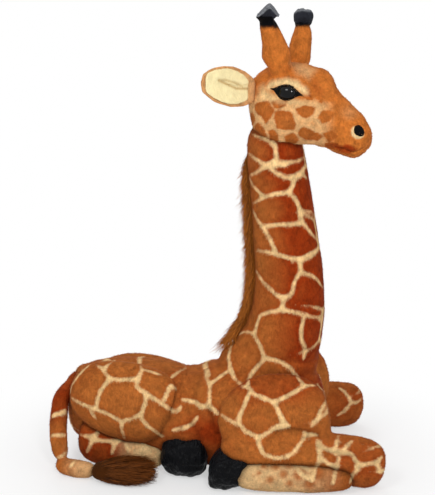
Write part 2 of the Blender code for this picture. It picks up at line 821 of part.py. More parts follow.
def make_nostril(side_name, side, frame, head):
    """A drop-shaped pad let into the side of the muzzle."""
    name = side_name + "_nostril"
    at = Vector((NOSTRIL_FORWARD, side * NOSTRIL_SIDE, NOSTRIL_RISE))
    seat = face_seat(name + "_seat", at, side, NOSTRIL_TOE_DEG, frame)
    bm = bmesh.new()
    radius = NOSTRIL_LENGTH / 2
    bmesh.ops.create_uvsphere(bm, u_segments=THIGH_SIDES, v_segments=LIMB_SIDES, radius=radius)
    flat = (1.0, NOSTRIL_HEIGHT / NOSTRIL_LENGTH, NOSTRIL_THICKNESS / NOSTRIL_LENGTH)
    bmesh.ops.scale(bm, vec=flat, verts=bm.verts[:])
    pad = place(name, mesh_from(bm, name), "liner_felt", seat)
    cut(head, grown(pad, SEAM_GAP))


def make_mane(frame, neck):
    rows = []
    for rise, back, deep, wide in MANE_SHARES:
        height = NECK_RISE * (MANE_FOOT_SHARE + rise * MANE_REACH_SHARE)
        centre = Vector((-MANE_SETBACK * back, 0.0, height))
        rows.append((centre, deep * MANE_DEPTH, wide * MANE_WIDTH, 0.0))
    mesh = loft("mane", rows, LIMB_SIDES, Vector((1, 0, 0)))
    return cut(soften(place("mane", mesh, "mane_fur", frame)), grown(neck, SEAM_GAP))


def make_hind_leg(side_name, side, torso, floor):
    """A thigh that bulges from the hip, the folded leg under it and its hoof."""
    hip = pivot(side_name + "_hip", Vector((HIP_X, HIP_Y, 0.0)), HIP_YAW_DEG)
    setback, lift, inset = 0.0, HAUNCH_LIFT, 0.0
    if side_name == "left":
        setback, lift, inset = LEFT_SHANK_SETBACK, LEFT_HAUNCH_LIFT, LEFT_HAUNCH_INSET
    ankle = SHANK_REAR - setback + SHANK_LENGTH - HIND_HOOF_TUCK
    haunch = stuffed(
        side_name + "_haunch",
        HAUNCH_SHARES,
        Vector((HAUNCH_REAR, side * (HAUNCH_SIDE - inset), lift)),
        (HAUNCH_LENGTH, HAUNCH_HEIGHT, HAUNCH_WIDTH),
        "patch_plush",
        THIGH_SIDES,
        hip,
    )
    shank = stuffed(
        side_name + "_shank",
        SHANK_SHARES,
        Vector((SHANK_REAR - setback, side * SHANK_SIDE, 0.0)),
        (SHANK_LENGTH, SHANK_HEIGHT, SHANK_WIDTH),
        "patch_plush",
        parent=hip,
    )
    hoof = stuffed(
        side_name + "_hind_hoof",
        HOOF_SHARES,
        Vector((ankle, side * (SHANK_SIDE + HIND_HOOF_OUTSET), 0.0)),
        (HIND_HOOF_LENGTH, HOOF_HEIGHT, HOOF_WIDTH),
        "hoof_plush",
        parent=hip,
    )
    set_down(shank)
    set_down(hoof)
    round_torso = grown(torso, SEAM_GAP)
    round_haunch = grown(haunch, SEAM_GAP)
    cut(hoof, round_torso, round_haunch, grown(shank, SEAM_GAP), floor)
    cut(shank, round_torso, round_haunch, floor)
    cut(haunch, round_torso)
    return hoof


def make_foreleg(side_name, side, torso, necks, floor, hind_hoof):
    """The shoulder, the forearm out to the knee, and the cannon folded back with its hoof."""
    ahead, splay = 0.0, 0.0
    if side_name == "left":
        ahead, splay = LEFT_SHOULDER_AHEAD, LEFT_SPLAY_DEG
    at = Vector((SHOULDER_X + ahead, side * SHOULDER_Y, 0.0))
    root = pivot(side_name + "_shoulder_root", at, splay)
    shoulder = stuffed(
        side_name + "_shoulder",
        SHOULDER_SHARES,
        Vector((SHOULDER_REAR, -side * SHOULDER_INSET, SHOULDER_LIFT)),
        (SHOULDER_LENGTH, SHOULDER_HEIGHT, SHOULDER_WIDTH),
        "patch_plush",
        THIGH_SIDES,
        root,
    )
    forearm = stuffed(
        side_name + "_forearm",
        FOREARM_SHARES,
        Vector((FOREARM_REAR, 0.0, 0.0)),
        (FOREARM_LENGTH, FOREARM_HEIGHT, FOREARM_WIDTH),
        "patch_plush",
        parent=root,
    )
    cannon = stuffed(
        side_name + "_cannon",
        CANNON_SHARES,
        Vector((CANNON_FRONT, side * CANNON_OUTSET, 0.0)),
        (-CANNON_LENGTH, CANNON_HEIGHT, CANNON_WIDTH),
        "patch_plush",
        parent=root,
    )
    hoof = stuffed(
        side_name + "_fore_hoof",
        HOOF_SHARES,
        Vector((CANNON_FRONT - CANNON_LENGTH + FORE_HOOF_TUCK, side * FORE_HOOF_OUTSET, 0.0)),
        (-HOOF_LENGTH, HOOF_HEIGHT, HOOF_WIDTH),
        "hoof_plush",
        parent=root,
    )
    for form in (forearm, cannon, hoof):
        set_down(form)
    round_torso = grown(torso, SEAM_GAP)
    round_shoulder = grown(shoulder, SEAM_GAP)
    round_forearm = grown(forearm, SEAM_GAP)
    cut(hoof, round_torso, round_shoulder, round_forearm, grown(cannon, SEAM_GAP))
    cut(hoof, grown(hind_hoof, SEAM_GAP), floor)
    cut(cannon, round_torso, round_shoulder, round_forearm, floor)
    cut(forearm, round_torso, round_shoulder, floor)
    cut(shoulder, round_torso, *necks)


def make_tail(torso, floor):
    """A tail that leaves the rump at a ball, drops to the floor and runs to its tuft."""
    root = pivot("tail_pivot", Vector((TAIL_ROOT_X, TAIL_ROOT_Y, TAIL_ROOT_Z)))
    rows = []
    for along, side, rise, thick in TAIL_UPPER_SHARES:
        centre = Vector((along * TAIL_SWEEP_LENGTH, side * TAIL_SWEEP_LENGTH, rise * TAIL_DROP_LENGTH))
        rows.append((centre, thick * TAIL_RADIUS, thick * TAIL_RADIUS, 0.0))
    mesh = loft("tail_upper", rows, LIMB_SIDES, Vector((1, 0, 0)))
    upper = soften(place("tail_upper", mesh, "patch_plush", root))
    foot = rows[-1][0]
    base = Vector((foot.x, foot.y, TAIL_LOWER_RISE - TAIL_ROOT_Z))
    rows = []
    for along, side, rise, thick in TAIL_LOWER_SHARES:
        step = Vector((along * TAIL_LOWER_LENGTH, side * TAIL_LOWER_LENGTH, rise * TAIL_DROP_LENGTH))
        rows.append((base + step, thick * TAIL_RADIUS, thick * TAIL_RADIUS, 0.0))
    mesh = loft("tail_lower", rows, LIMB_SIDES, Vector((0, 0, 1)))
    lower = set_down(soften(place("tail_lower", mesh, "patch_plush", root)))
    end = rows[-1][0]
    tuft = stuffed(
        "tail_tuft",
        TUFT_SHARES,
        Vector((end.x - TAIL_RADIUS / 2, end.y, -TAIL_ROOT_Z)),
        (TUFT_LENGTH, TUFT_HEIGHT, TUFT_WIDTH),
        "tuft_fur",
        parent=root,
    )
    set_down(tuft)
    cut(tuft, grown(lower, SEAM_GAP), floor)
    cut(lower, grown(upper, SEAM_GAP), floor)
    centre = root.matrix_world.translation
    for turn in (0.0, -TAIL_SWING_DEG / 2, -TAIL_SWING_DEG):
        cut(torso, grown(upper, TURN_GAP, about(centre, "Z", turn)))
    cut(torso, ball("tail_socket", TAIL_RADIUS + TURN_GAP, ROUND_SIDES, centre))
    join_on(upper, ball("tail_ball", TAIL_RADIUS, ROUND_SIDES, centre))


def stretched(points, before, after):
    """The same line with its ends moved outwards by these lengths."""
    first = points[0] + (points[0] - points[1]).normalized() * before
    last = points[-1] + (points[-1] - points[-2]).normalized() * after
    return [first, *points[1:-1], last]


def make_frame(torso, neck, neck_frame, head, head_frame):
    """The bent wire that holds the neck up, in three runs that meet at the two joints, with
    the channels that it lies in."""
    bore = WIRE_RADIUS + WIRE_BORE_GAP
    ball_at = Vector((NECK_BALL_X, 0.0, NECK_BALL_Z))
    line = [
        ball_at + Vector((-x * SPINE_WIRE_REACH, y * HIP_SWAY_WIDTH, -z * SPINE_WIRE_DEPTH))
        for x, y, z in SPINE_WIRE_SHARES
    ]
    rod("spine_wire", stretched(line, -WIRE_END_GAP, 0.0), WIRE_RADIUS, "frame_wire")
    cut(torso, as_cutter(rod("spine_bore", stretched(line, 0.0, WIRE_END_GAP), bore)))
    lean = NECK_TOP_X - NECK_BALL_X
    top = NECK_RISE - NECK_DOME_FOOT + NECK_DOME_RISE
    line = [Vector((lean * t + NECK_BELLY * x, 0.0, top * t)) for t, x in NECK_WIRE_SHARES]
    line_in = stretched(line, -WIRE_END_GAP, -WIRE_END_GAP)
    rod("neck_wire", line_in, WIRE_RADIUS, "frame_wire", neck_frame)
    cut(neck, as_cutter(rod("neck_bore", stretched(line, 0.0, OVERRUN), bore, parent=neck_frame)))
    swing = math.radians(max(LEAN_BACK_DEG, LEAN_FORWARD_DEG) + WIRE_RELIEF_SPARE_DEG)
    drop = NECK_BALL_RADIUS + OVERRUN
    mouth = bore + drop * math.tan(swing)
    relief = [(0.0, WIRE_END_GAP), (bore, WIRE_END_GAP), (mouth, -drop), (0.0, -drop)]
    cut(neck, as_cutter(turned("wire_relief", relief, ROUND_SIDES, neck_frame)))
    base = NECK_DOME_RISE - NECK_DOME_FOOT + TURN_GAP
    line = [
        Vector((0.0, 0.0, base)),
        Vector((0.0, 0.0, base + STEM_RISE / 2)),
        Vector((STEM_REACH / 4, 0.0, base + STEM_RISE)),
        Vector((STEM_REACH, 0.0, base + STEM_RISE)),
    ]
    rod("head_stem", stretched(line, -WIRE_END_GAP, 0.0), WIRE_RADIUS, "frame_wire", head_frame)
    stem_bore = rod("stem_bore", stretched(line, OVERRUN, WIRE_END_GAP), bore, parent=head_frame)
    cut(head, as_cutter(stem_bore))


def main():
    floor = make_floor()
    torso = make_torso()
    ball_at = Vector((NECK_BALL_X, 0.0, NECK_BALL_Z))
    neck_frame = pivot("neck_lean_pivot", ball_at)
    neck = make_neck(neck_frame)
    leans = [-LEAN_BACK_DEG, 0.0, LEAN_FORWARD_DEG]
    necks = [grown(neck, SEAM_GAP, about(ball_at, "Y", lean)) for lean in leans]
    across = Vector((0.0, 1.0, 0.0))
    socket = ball("neck_socket", NECK_BALL_RADIUS + TURN_GAP, BALL_SIDES, ball_at, across)
    head_at = Vector((NECK_TOP_X - NECK_BALL_X, 0.0, NECK_RISE))
    head_frame = pivot("head_turn_pivot", head_at, HEAD_YAW_DEG, neck_frame)
    tilt = Matrix.Rotation(math.radians(HEAD_TILT_DEG), 4, "X")
    middle = Matrix.Translation((0.0, 0.0, HEAD_TILT_RISE))
    face = pivot("head_tilt", Vector(), 0.0, head_frame)
    face.matrix_basis = middle @ tilt @ middle.inverted()
    head = make_head(face)
    make_mane(neck_frame, neck)
    for side_name, side in SIDES.items():
        make_ossicone(side_name, side, face, head)
    cut(head, make_dome_socket(head_frame))
    for side_name, side in SIDES.items():
        make_ear(side_name, side, face, head)
        make_eye(side_name, side, face, head)
        make_nostril(side_name, side, face, head)
        hoof = make_hind_leg(side_name, side, torso, floor)
        make_foreleg(side_name, side, torso, [*necks, socket], floor, hoof)
    make_tail(torso, floor)
    cut(torso, socket, *necks)
    join_on(neck, ball("neck_ball", NECK_BALL_RADIUS, BALL_SIDES, ball_at, across))
    make_frame(torso, neck, neck_frame, head, head_frame)
    cut(torso, floor)


clear_scene()
GIRAFFE = new_collection("plush_giraffe")
CUTTERS = new_collection("cutters")
main()
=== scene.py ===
"""Plush giraffe: the coat, fur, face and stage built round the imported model.

Run it as a script in Blender. Each piece has an operator in the sidebar's Giraffe tab.
"""

import json
import math

import bmesh
import bpy
import numpy as np
from mathutils import Matrix, Vector, noise
from mathutils.bvhtree import BVHTree
from mathutils.kdtree import KDTree

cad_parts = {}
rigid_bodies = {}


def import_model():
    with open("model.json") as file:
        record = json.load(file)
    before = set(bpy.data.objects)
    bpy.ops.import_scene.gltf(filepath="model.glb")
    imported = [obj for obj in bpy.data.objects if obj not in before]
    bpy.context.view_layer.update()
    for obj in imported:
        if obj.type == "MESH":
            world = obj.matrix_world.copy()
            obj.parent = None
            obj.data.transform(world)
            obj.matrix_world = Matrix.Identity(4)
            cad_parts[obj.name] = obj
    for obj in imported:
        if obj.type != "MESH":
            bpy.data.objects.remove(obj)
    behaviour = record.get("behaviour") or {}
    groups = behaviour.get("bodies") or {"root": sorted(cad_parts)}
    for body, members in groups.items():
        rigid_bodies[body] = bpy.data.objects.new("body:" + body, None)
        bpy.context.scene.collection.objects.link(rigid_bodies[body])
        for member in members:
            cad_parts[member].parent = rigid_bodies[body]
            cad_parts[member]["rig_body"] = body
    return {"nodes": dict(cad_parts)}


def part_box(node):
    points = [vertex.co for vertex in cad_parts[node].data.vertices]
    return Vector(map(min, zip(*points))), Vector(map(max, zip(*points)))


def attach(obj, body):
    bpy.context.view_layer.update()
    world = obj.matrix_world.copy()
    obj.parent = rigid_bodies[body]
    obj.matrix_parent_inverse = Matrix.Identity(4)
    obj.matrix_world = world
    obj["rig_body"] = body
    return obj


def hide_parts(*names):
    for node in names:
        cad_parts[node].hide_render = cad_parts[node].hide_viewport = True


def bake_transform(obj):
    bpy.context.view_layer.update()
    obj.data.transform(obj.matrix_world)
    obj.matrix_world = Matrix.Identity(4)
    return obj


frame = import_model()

bl_info = {
    "name": "Plush Giraffe",
    "version": (1, 0, 0),
    "blender": (4, 5, 0),
    "location": "View3D > Sidebar > Giraffe",
    "description": "Dresses the packed plush giraffe with its coat, fur, face and stage",
    "category": "Object",
}

bpy.context.view_layer.update()
SIDES = {"right": -1, "left": 1}

# The camera: place in metres, tilt downwards, focal length in pixels, and its picture's width and height
CAMERA_AT = Vector((0.0, -1.5, 0.653))
CAMERA_PITCH = math.radians(12.05)
FOCAL_PIXELS = 1052.0
PICTURE = (435, 495)

# Where the solids' own frames stand: joints, hips, shoulders, head and ears, in metres and radians
HIP = Vector((-0.130, 0.053, 0.0))
HIP_YAW = math.radians(-8.0)
RIGHT_SHOULDER = Vector((0.070, -0.090, 0.0))
LEFT_SHOULDER = Vector((0.082, 0.090, 0.0))
LEFT_SPLAY = math.radians(24.0)
HEAD_AT = Vector((0.081, 0.0, 0.5))
HEAD_YAW = math.radians(-25.0)
HEAD_TILT = math.radians(-4.5)
HEAD_MIDDLE_RISE = 0.040
EAR_ROOT = Vector((-0.020, 0.029, 0.058))
EAR_YAW = math.radians(121.0)
EAR_LENGTH = 0.091
EAR_HALF_WIDTH = 0.029
EAR_TIP_LIFT = 0.008
# The middle of the torso sways at the hips: places along it, and how far across its middle lies
SWAY_X = (-0.236, -0.202, -0.131, -0.063, 0.001, 0.17)
SWAY_Y = (0.058, 0.058, 0.0447, 0.0186, 0.0, 0.0)

# The lowest that a skin reaches, and spacings of points along drawn lines, in metres and in pixels
FLOOR_CLEAR = 0.0003
LINE_SPACING = 0.002
PIXEL_SPACING = 1.2
# Lines of the coat: cell in which one point is enough, and a junction's reach, widening and points
LINE_CELL = 0.0015
JUNCTION_REACH = 0.0020
JUNCTION_GAIN = 0.0029
JUNCTION_POINTS = 16
# How far the far horn leans forward of its solid, as photographed, and how much its tip is narrowed
FAR_HORN_LEAN = 0.0075
FAR_TIP_NARROWING = 0.06
# What one pixel of the picture measures on the face
FACE_PIXEL = 0.0014
# Short pile: skin under each blade in square metres, half a blade's width, how deep it is rooted, lowest root
AREA_PER_BLADE = 0.0000026
BLADE_HALF_WIDTH = 0.00048
BLADE_SUNK = 0.0004
LOWEST_ROOT = 0.0025
PILE_SEED = 50
# Painted crease shade: how near another skin has to be, and how wide a crease's shade is
CREASE_REACH = 0.009
CREASE_WIDTH = 0.0042
# The stage's floor: radius, how far it lies under the toy, and where its glow begins and ends
FLOOR_RADIUS = 30.0
FLOOR_DROP = 0.0006
GLOW_FROM, GLOW_TO = 0.15, 0.50

# Cream lines of the coat on the side that the camera sees, in pixels of its picture
TORSO_LINES = [
    [(182, 399), (197, 402), (200, 407), (209, 406)],
    [(198, 416), (192, 424.5), (182, 428), (172, 430)],
    [(170.8, 378), (178, 372.3), (186, 368)],
    [(206, 363), (206.5, 378), (209.8, 384.7), (209.8, 396.3), (209.3, 406.3)],
    [(209.3, 406.3), (220.6, 414.6), (232.2, 422.9), (238.8, 424.5)],
    [(58, 384), (66, 392), (69.7, 396.3)],
]
NECK_LINES = [
    [(245, 129), (255.6, 135.7), (262.9, 138.1), (274.4, 142.7), (275.7, 150.7), (277, 158.7),
     (270.3, 163.4)],
    [(245.6, 151.4), (254.3, 157.4), (265, 165.4)],
    [(265, 166.8), (257, 171.5), (247.6, 176.2)],
    [(265, 165.4), (277, 162.8), (286.4, 162.5), (297.1, 161.2), (303, 158)],
    [(265, 166.5), (276, 165), (288, 164)],
    [(270.3, 168.5), (281.1, 175.5), (291.8, 178.2), (299.8, 173.5), (303.8, 168.1)],
    [(296, 178), (303, 174), (307, 178)],
    [(294.5, 178.8), (293.1, 185.5), (288.4, 192.2), (275.7, 193.6), (263.7, 196.9)],
    [(248.3, 176.8), (254.3, 186.9), (263.7, 196.9)],
    [(263.7, 197.6), (257, 200.9), (252.9, 202.9)],
    [(288.4, 192.2), (295.8, 198.9), (299.8, 208.3), (301.2, 219), (303.2, 223)],
    [(299.8, 211), (310.5, 211), (315.2, 215), (315.9, 219)],
    [(303.2, 223), (291.8, 224.1), (275.7, 224.4), (262.3, 226.4)],
    [(252.9, 209.6), (257, 219), (262.3, 226.4), (269, 236.4), (274.4, 248.5), (275.7, 253.8)],
    [(303.2, 223), (310.5, 232.4), (319.2, 241.8)],
    [(255.6, 249.8), (267.7, 251.8), (278.4, 254.5), (289.1, 257.9), (301.2, 258.5), (310.5, 253.2),
     (319.9, 247.8)],
    [(299.8, 259.2), (300.5, 271.2), (294.5, 282), (291.8, 294), (286.4, 297.4), (278.4, 296),
     (270.3, 288.7), (262.3, 280.6), (255.6, 269.9)],
    [(300.5, 271.2), (310.5, 274.6), (317.2, 279.3), (325.3, 291.3)],
    [(283.7, 297.4), (282.4, 310.1)],
    [(261, 314.1), (273, 311.4), (282.4, 309.4), (294.5, 312.1), (307.9, 315.4), (318.6, 318.1),
     (323.9, 311.4), (325.9, 303.4)],
    [(318.6, 318.1), (324.6, 327.5)],
    [(260, 315.4), (257, 324.8), (254.3, 334), (261, 346.9), (265, 357.6), (275.7, 359.6), (283.7, 362.9),
     (291.8, 369.6), (298.5, 379), (303.8, 385.7)],
    [(254.3, 332.8), (243.6, 331.5), (236.9, 335.5), (231.5, 344.2), (228.8, 356.2), (230.2, 367),
     (234.2, 377.7), (243.6, 387)],
    [(303.8, 317.5), (301.2, 330.2), (301.2, 338.2), (305, 347), (304, 359)],
]
SHOULDER_LINES = [
    [(243.6, 387), (247.6, 385.7), (252.9, 393.7), (265, 398.4), (274.4, 401.8), (289.1, 395.1),
     (303.8, 385.7), (317.2, 385), (325.3, 392.4), (325.3, 401.8), (319.9, 411.2), (318.6, 417.9),
     (310.5, 427.2)],
    [(265, 357.6), (257, 367), (250.3, 375), (247.6, 385.7)],
    [(265, 357.6), (275.7, 359.6), (283.7, 362.9), (291.8, 369.6), (298.5, 379), (303.8, 385.7)],
    [(230.2, 367), (234.2, 377.7), (243.6, 387)],
    [(209.8, 384.7), (218.9, 377.3), (229.7, 369.8)],
    [(274.4, 401.8), (279.7, 413.8), (283.7, 421.9), (289.1, 426.6)],
    [(281, 418), (286, 426), (283, 426)],
    [(289, 426), (273, 428.6), (263.7, 435.3), (257, 436.6), (246.2, 431.2), (238.9, 423.2), (239.6, 415.2),
     (244.9, 404.5), (248.9, 393.7)],
    [(238.9, 423.2), (232.9, 421.9), (220.6, 414.6), (209.3, 406.3)],
    [(257, 436.6), (259.6, 446), (263.7, 454), (275.7, 458)],
    [(317.2, 385), (323.9, 377.7), (319.9, 369.6)],
]
FOREARM_LINES = [
    [(257, 436.6), (259.6, 446), (263.7, 454), (275.7, 458), (289.1, 456), (295.8, 450), (301.2, 442),
     (305.2, 433.9), (303.8, 431.9)],
    [(283.7, 424.5), (273, 428.6), (263.7, 435.3), (257, 436.6), (246.2, 431.2), (238.9, 423.2)],
    [(305.2, 433.9), (317.2, 435.3)],
    [(338.7, 433.9), (335.3, 446), (334.6, 448.7)],
    [(317.2, 444.6), (323.9, 448.7), (332, 450.7), (342.7, 452.7), (352, 454), (356, 462), (357.4, 466),
     (368.1, 463.4), (377.5, 462), (381.5, 456.7)],
    [(352, 440.6), (346.7, 446), (341.3, 452.7)],
    [(376.2, 463.4), (381.5, 472.8)],
]
FAR_KNEE_LINES = [
    [(344, 391), (350.7, 401.8), (356, 403.1), (362, 398)],
    [(350.7, 403), (344, 411.2), (337.3, 415.2)],
    [(344, 391), (339, 388)],
]
# Lines that run on from the forearm's knee to the cannon under it
KNEE_LINES = [
    [(317.2, 439.3), (318.6, 450), (319.9, 458), (314.5, 471.4), (311.9, 482.1)],
    [(319.9, 458), (329.3, 464.7), (337.3, 467.4)],
    [(338.7, 458), (336.6, 467.4), (334.6, 475.4), (333.3, 484.8)],
    [(356, 462), (357.4, 470.1), (352, 475.4), (350, 483.5)],
]
CANNON_LINES = [
    [(301.2, 459.4), (301.2, 466), (310.5, 470.1)],
    [(296, 468), (304, 477), (312, 479)],
]
HAUNCH_LINES = [
    [(90.4, 364), (79.6, 374), (72, 384.7), (69.7, 396.3), (79.6, 403), (92.9, 408), (106.1, 412.9),
     (121.9, 421.2), (132.7, 417.9), (141, 413.7)],
    [(95.4, 364), (103.6, 369.8), (109.5, 378.9), (101.2, 389.7), (97, 399.7), (96.2, 408)],
    [(115.3, 359.9), (107.8, 364.8), (103.6, 369.8)],
    [(109.5, 378.9), (122.7, 379.8), (134.3, 378.6), (138.5, 378.1)],
    [(141, 359), (139.3, 363.2), (141.8, 369.8), (138.5, 378.1), (136, 386.4), (145.9, 393.8),
     (155.9, 399.7), (163.3, 404.6), (174.1, 412.1)],
    [(144.3, 369.8), (152.6, 372.3), (160, 374.4)],
    [(145.9, 393.8), (145.1, 403), (141, 413.7), (142.6, 420.4), (150, 427.8), (157.5, 432.8),
     (164.2, 436.1)],
    [(121.9, 421.2), (121, 427.8), (123.5, 436.1), (125, 442)],
    [(90.4, 411.3), (95.4, 417.9)],
    [(163.3, 401), (167.5, 391.4), (171.5, 384.5)],
    [(168, 389), (174, 387), (176, 390)],
    [(178, 411), (181, 406)],
]
SHANK_LINES = [
    [(81.3, 420.4), (74.6, 425.4), (73, 432.8), (86.2, 436.1), (94.5, 436.1), (99.5, 429.5),
     (102.8, 427.8)],
    [(94.5, 436.1), (90.4, 444.4), (86.2, 452.7)],
    [(91.2, 439.5), (102.8, 440.8), (116.1, 441.4), (112.8, 449.4), (111.1, 454.4)],
    [(116.1, 441.4), (122.7, 439.5)],
    [(126, 443), (129, 452)],
]
TAIL_LINES = [
    [(53, 414.5), (66, 413)],
    [(53, 416), (66, 410)],
    [(49, 435.3), (66, 434.5)],
    [(56, 459), (67, 452)],
    [(70, 467), (79, 455)],
]
# Filling that rounds the neck's foot into the back: centres and radii
WITHERS = (((0.074, 0.0, 0.182), 0.047), ((0.046, 0.0, 0.150), 0.045))
# Lines that cross the back, seen from above: along X, and across from the back's own middle, in metres
BACK_LINES = [
    [(-0.190, -0.046), (-0.170, 0.004), (-0.190, 0.046)],
    [(-0.152, -0.046), (-0.165, -0.012), (-0.170, 0.004)],
    [(-0.115, -0.040), (-0.120, 0.004), (-0.108, 0.046)],
    [(-0.012, -0.034), (-0.020, 0.004), (-0.002, 0.040)],
]
# Lines of the rump, seen from behind: across and up, in metres
RUMP_LINES = [
    [(-0.020, 0.108), (0.028, 0.092), (0.058, 0.108), (0.092, 0.090), (0.140, 0.105)],
    [(0.058, 0.108), (0.058, 0.150)],
    [(0.028, 0.092), (0.022, 0.050), (0.058, 0.034), (0.094, 0.048), (0.092, 0.090)],
    [(0.022, 0.050), (-0.014, 0.036)],
    [(0.094, 0.048), (0.132, 0.034)],
    [(0.058, 0.034), (0.060, 0.004)],
]
# Lines across the throat and chest, seen from the front: across and up, in metres
THROAT_LINES = [
    [(-0.045, 0.505), (-0.006, 0.484), (0.045, 0.500)],
    [(-0.050, 0.436), (-0.014, 0.456), (0.018, 0.434), (0.050, 0.448)],
    [(-0.006, 0.484), (-0.014, 0.456)],
    [(-0.055, 0.400), (-0.016, 0.376), (0.014, 0.394), (0.055, 0.380)],
    [(0.018, 0.434), (0.014, 0.394)],
    [(-0.060, 0.312), (-0.014, 0.338), (0.022, 0.316), (0.060, 0.330)],
    [(-0.016, 0.376), (-0.014, 0.338)],
    [(-0.065, 0.268), (-0.020, 0.244), (0.018, 0.264), (0.065, 0.248)],
    [(0.022, 0.316), (0.018, 0.264)],
    [(-0.020, 0.244), (-0.024, 0.200)],
    [(-0.075, 0.176), (-0.024, 0.200), (0.026, 0.172), (0.075, 0.190)],
    [(-0.080, 0.132), (-0.034, 0.112), (0.014, 0.130), (0.080, 0.116)],
    [(0.026, 0.172), (0.014, 0.130)],
    [(-0.034, 0.112), (-0.028, 0.062)],
    [(-0.090, 0.052), (-0.028, 0.062), (0.034, 0.044), (0.090, 0.066)],
]
# Lines on the front of the right upper foreleg, seen from the front: across and up, in metres
FORELEG_FRONT_LINES = [
    [(-0.140, 0.112), (-0.108, 0.096), (-0.078, 0.116)],
    [(-0.108, 0.096), (-0.104, 0.066), (-0.132, 0.052)],
    [(-0.104, 0.066), (-0.066, 0.058)],
    [(-0.120, 0.036), (-0.094, 0.026), (-0.070, 0.038)],
    [(-0.094, 0.026), (-0.098, 0.002)],
]
# The photographed outline: picture columns with the rows of the top and of the bottom
BACK_OUTLINE = [
    (58, 384), (64, 374), (77, 367), (89, 362.5), (101, 359), (121, 356.5), (138, 357), (157, 358),
    (174, 361), (187, 365), (199, 364), (211, 360), (219, 355),
]
SNOUT_OUTLINE = [
    (316, 64.5, 145), (328, 71, 149), (333, 77.5, 151.5), (337, 86.5, 153.5), (343, 95, 156),
    (353, 104, 158), (363.5, 114, 154.5), (370, 125, 149.5), (373.5, 134, 143),
]
JAW_OUTLINE = [
    (250, None, 122), (256, None, 133), (264, None, 138.5), (275, None, 141.5), (290, None, 143.5),
    (303, None, 144.5), (316, None, 145),
]
# Crowns of the horn tips: picture columns and rows of the outline, for each side
TIP_CROWNS = {
    -1: ((256.5, 262, 267, 270, 274, 277.5), (14, 9, 4.5, 2.5, 6.5, 12)),
    1: ((294.5, 297, 303, 310, 313.5), (11.5, 8.5, 7.5, 8.5, 11)),
}
# Rust patches of the cheeks in the picture, and how much of the face's tan each has
CHEEK_PATCHES = [
    (0.30, [(271.7, 101), (288.3, 100), (286, 105.5), (278.3, 107.8), (272.8, 105.5)]),
    (0.30, [(256, 104.4), (268.3, 101), (274, 109), (270.5, 118), (266, 122.2), (258.3, 113.3),
            (255, 109)]),
    (0.25, [(276, 112), (284, 110), (292.8, 114), (295, 122), (294, 129), (286, 129.8), (277, 127),
            (274.3, 118)]),
    (0.30, [(296.5, 109), (306, 106.5), (316, 108), (312.8, 114.4), (306, 118), (298.3, 114.4)]),
    (0.60, [(318.5, 118), (322.8, 110.5), (331, 112), (336, 113), (329, 120), (322, 123)]),
    (0.25, [(299.4, 131), (304, 127), (313, 131), (322.8, 136.7), (317, 140), (306, 140), (299.4, 135.6)]),
    (0.25, [(254.5, 127), (258.3, 122.5), (264.5, 131), (267.8, 135.6), (261.7, 138), (256, 134)]),
    (0.35, [(267.5, 131), (273, 129.5), (278, 135.6), (277.8, 141), (271.7, 141)]),
    (0.35, [(284.5, 136.5), (293, 134), (299, 138.5), (297, 143), (288.3, 145)]),
    (0.55, [(323.5, 133.5), (333, 130.5), (338, 135.6), (329, 142.5)]),
    (0.35, [(246.5, 118), (252.5, 112), (255.5, 119), (251, 128), (247, 127)]),
]
# Soft spots of the lower foreleg: centre in the picture and radius in pixels
CANNON_SPOTS = [
    (289, 464, 5.67), (276, 466, 4.86), (308, 462, 6.75), (264, 466, 3.51), (284, 474, 4.86),
    (299, 475, 6.21), (270, 480, 4.05), (259, 473, 2.43), (290, 483, 3.78), (310, 483, 6.075),
    (278, 459, 3.51), (318, 473, 8.1), (303, 470, 4.05),
]
# Folds of the coat in the picture: the one under the chest, and the flank's with their depths in metres
CHEST_FOLD = [(281, 361.7), (292, 363), (303, 363.5), (313, 362), (322, 359)]
FLANK_FOLDS = [
    ([(208, 405), (211, 415), (218, 434)], 0.0030),
    ([(221, 411), (228, 427), (236, 445)], 0.0034),
    ([(236, 392), (230, 404), (226, 412)], 0.0022),
    ([(200, 372), (196, 388), (198, 400)], 0.0016),
    ([(190, 420), (197, 431), (200, 440)], 0.0024),
]
# Folds that the bent knee leaves: path in the picture, depth and width in metres
KNEE_FOLDS = [
    ([(318, 446), (330, 451), (342, 453)], 0.0016, 0.0030),
    ([(340, 453), (352, 455), (357, 465)], 0.0022, 0.0032),
    ([(276, 432), (288, 429), (303, 431), (319, 434)], 0.0030, 0.0034),
]
# Ridges and hollows of the face: path in the picture, height and width in metres
FACE_RELIEF = {
    "brow": ([(266, 84), (275, 79.5), (286, 78.5), (297, 81.5), (305, 87)], 0.0034, 0.0062),
    "lid": ([(270, 87), (279, 84.5), (288, 84.5), (297, 88)], 0.0016, 0.0035),
    "pouch": ([(276, 101.5), (286, 103), (296, 101)], 0.0012, 0.0040),
    "bridge": ([(336, 97), (344, 103), (351, 109), (356, 115)], -0.0010, 0.0080),
    "mouth": ([(337, 149), (344, 148.5), (350, 151), (357, 151), (363, 147)], -0.0026, 0.0024),
    "chin": ([(342, 153), (350, 155)], 0.0012, 0.0050),
    "cheek_bone": ([(306, 99), (316, 103), (326, 108)], 0.0014, 0.0070),
    "nostril": ([(360, 130.5), (360.5, 131)], -0.0014, 0.0075),
}
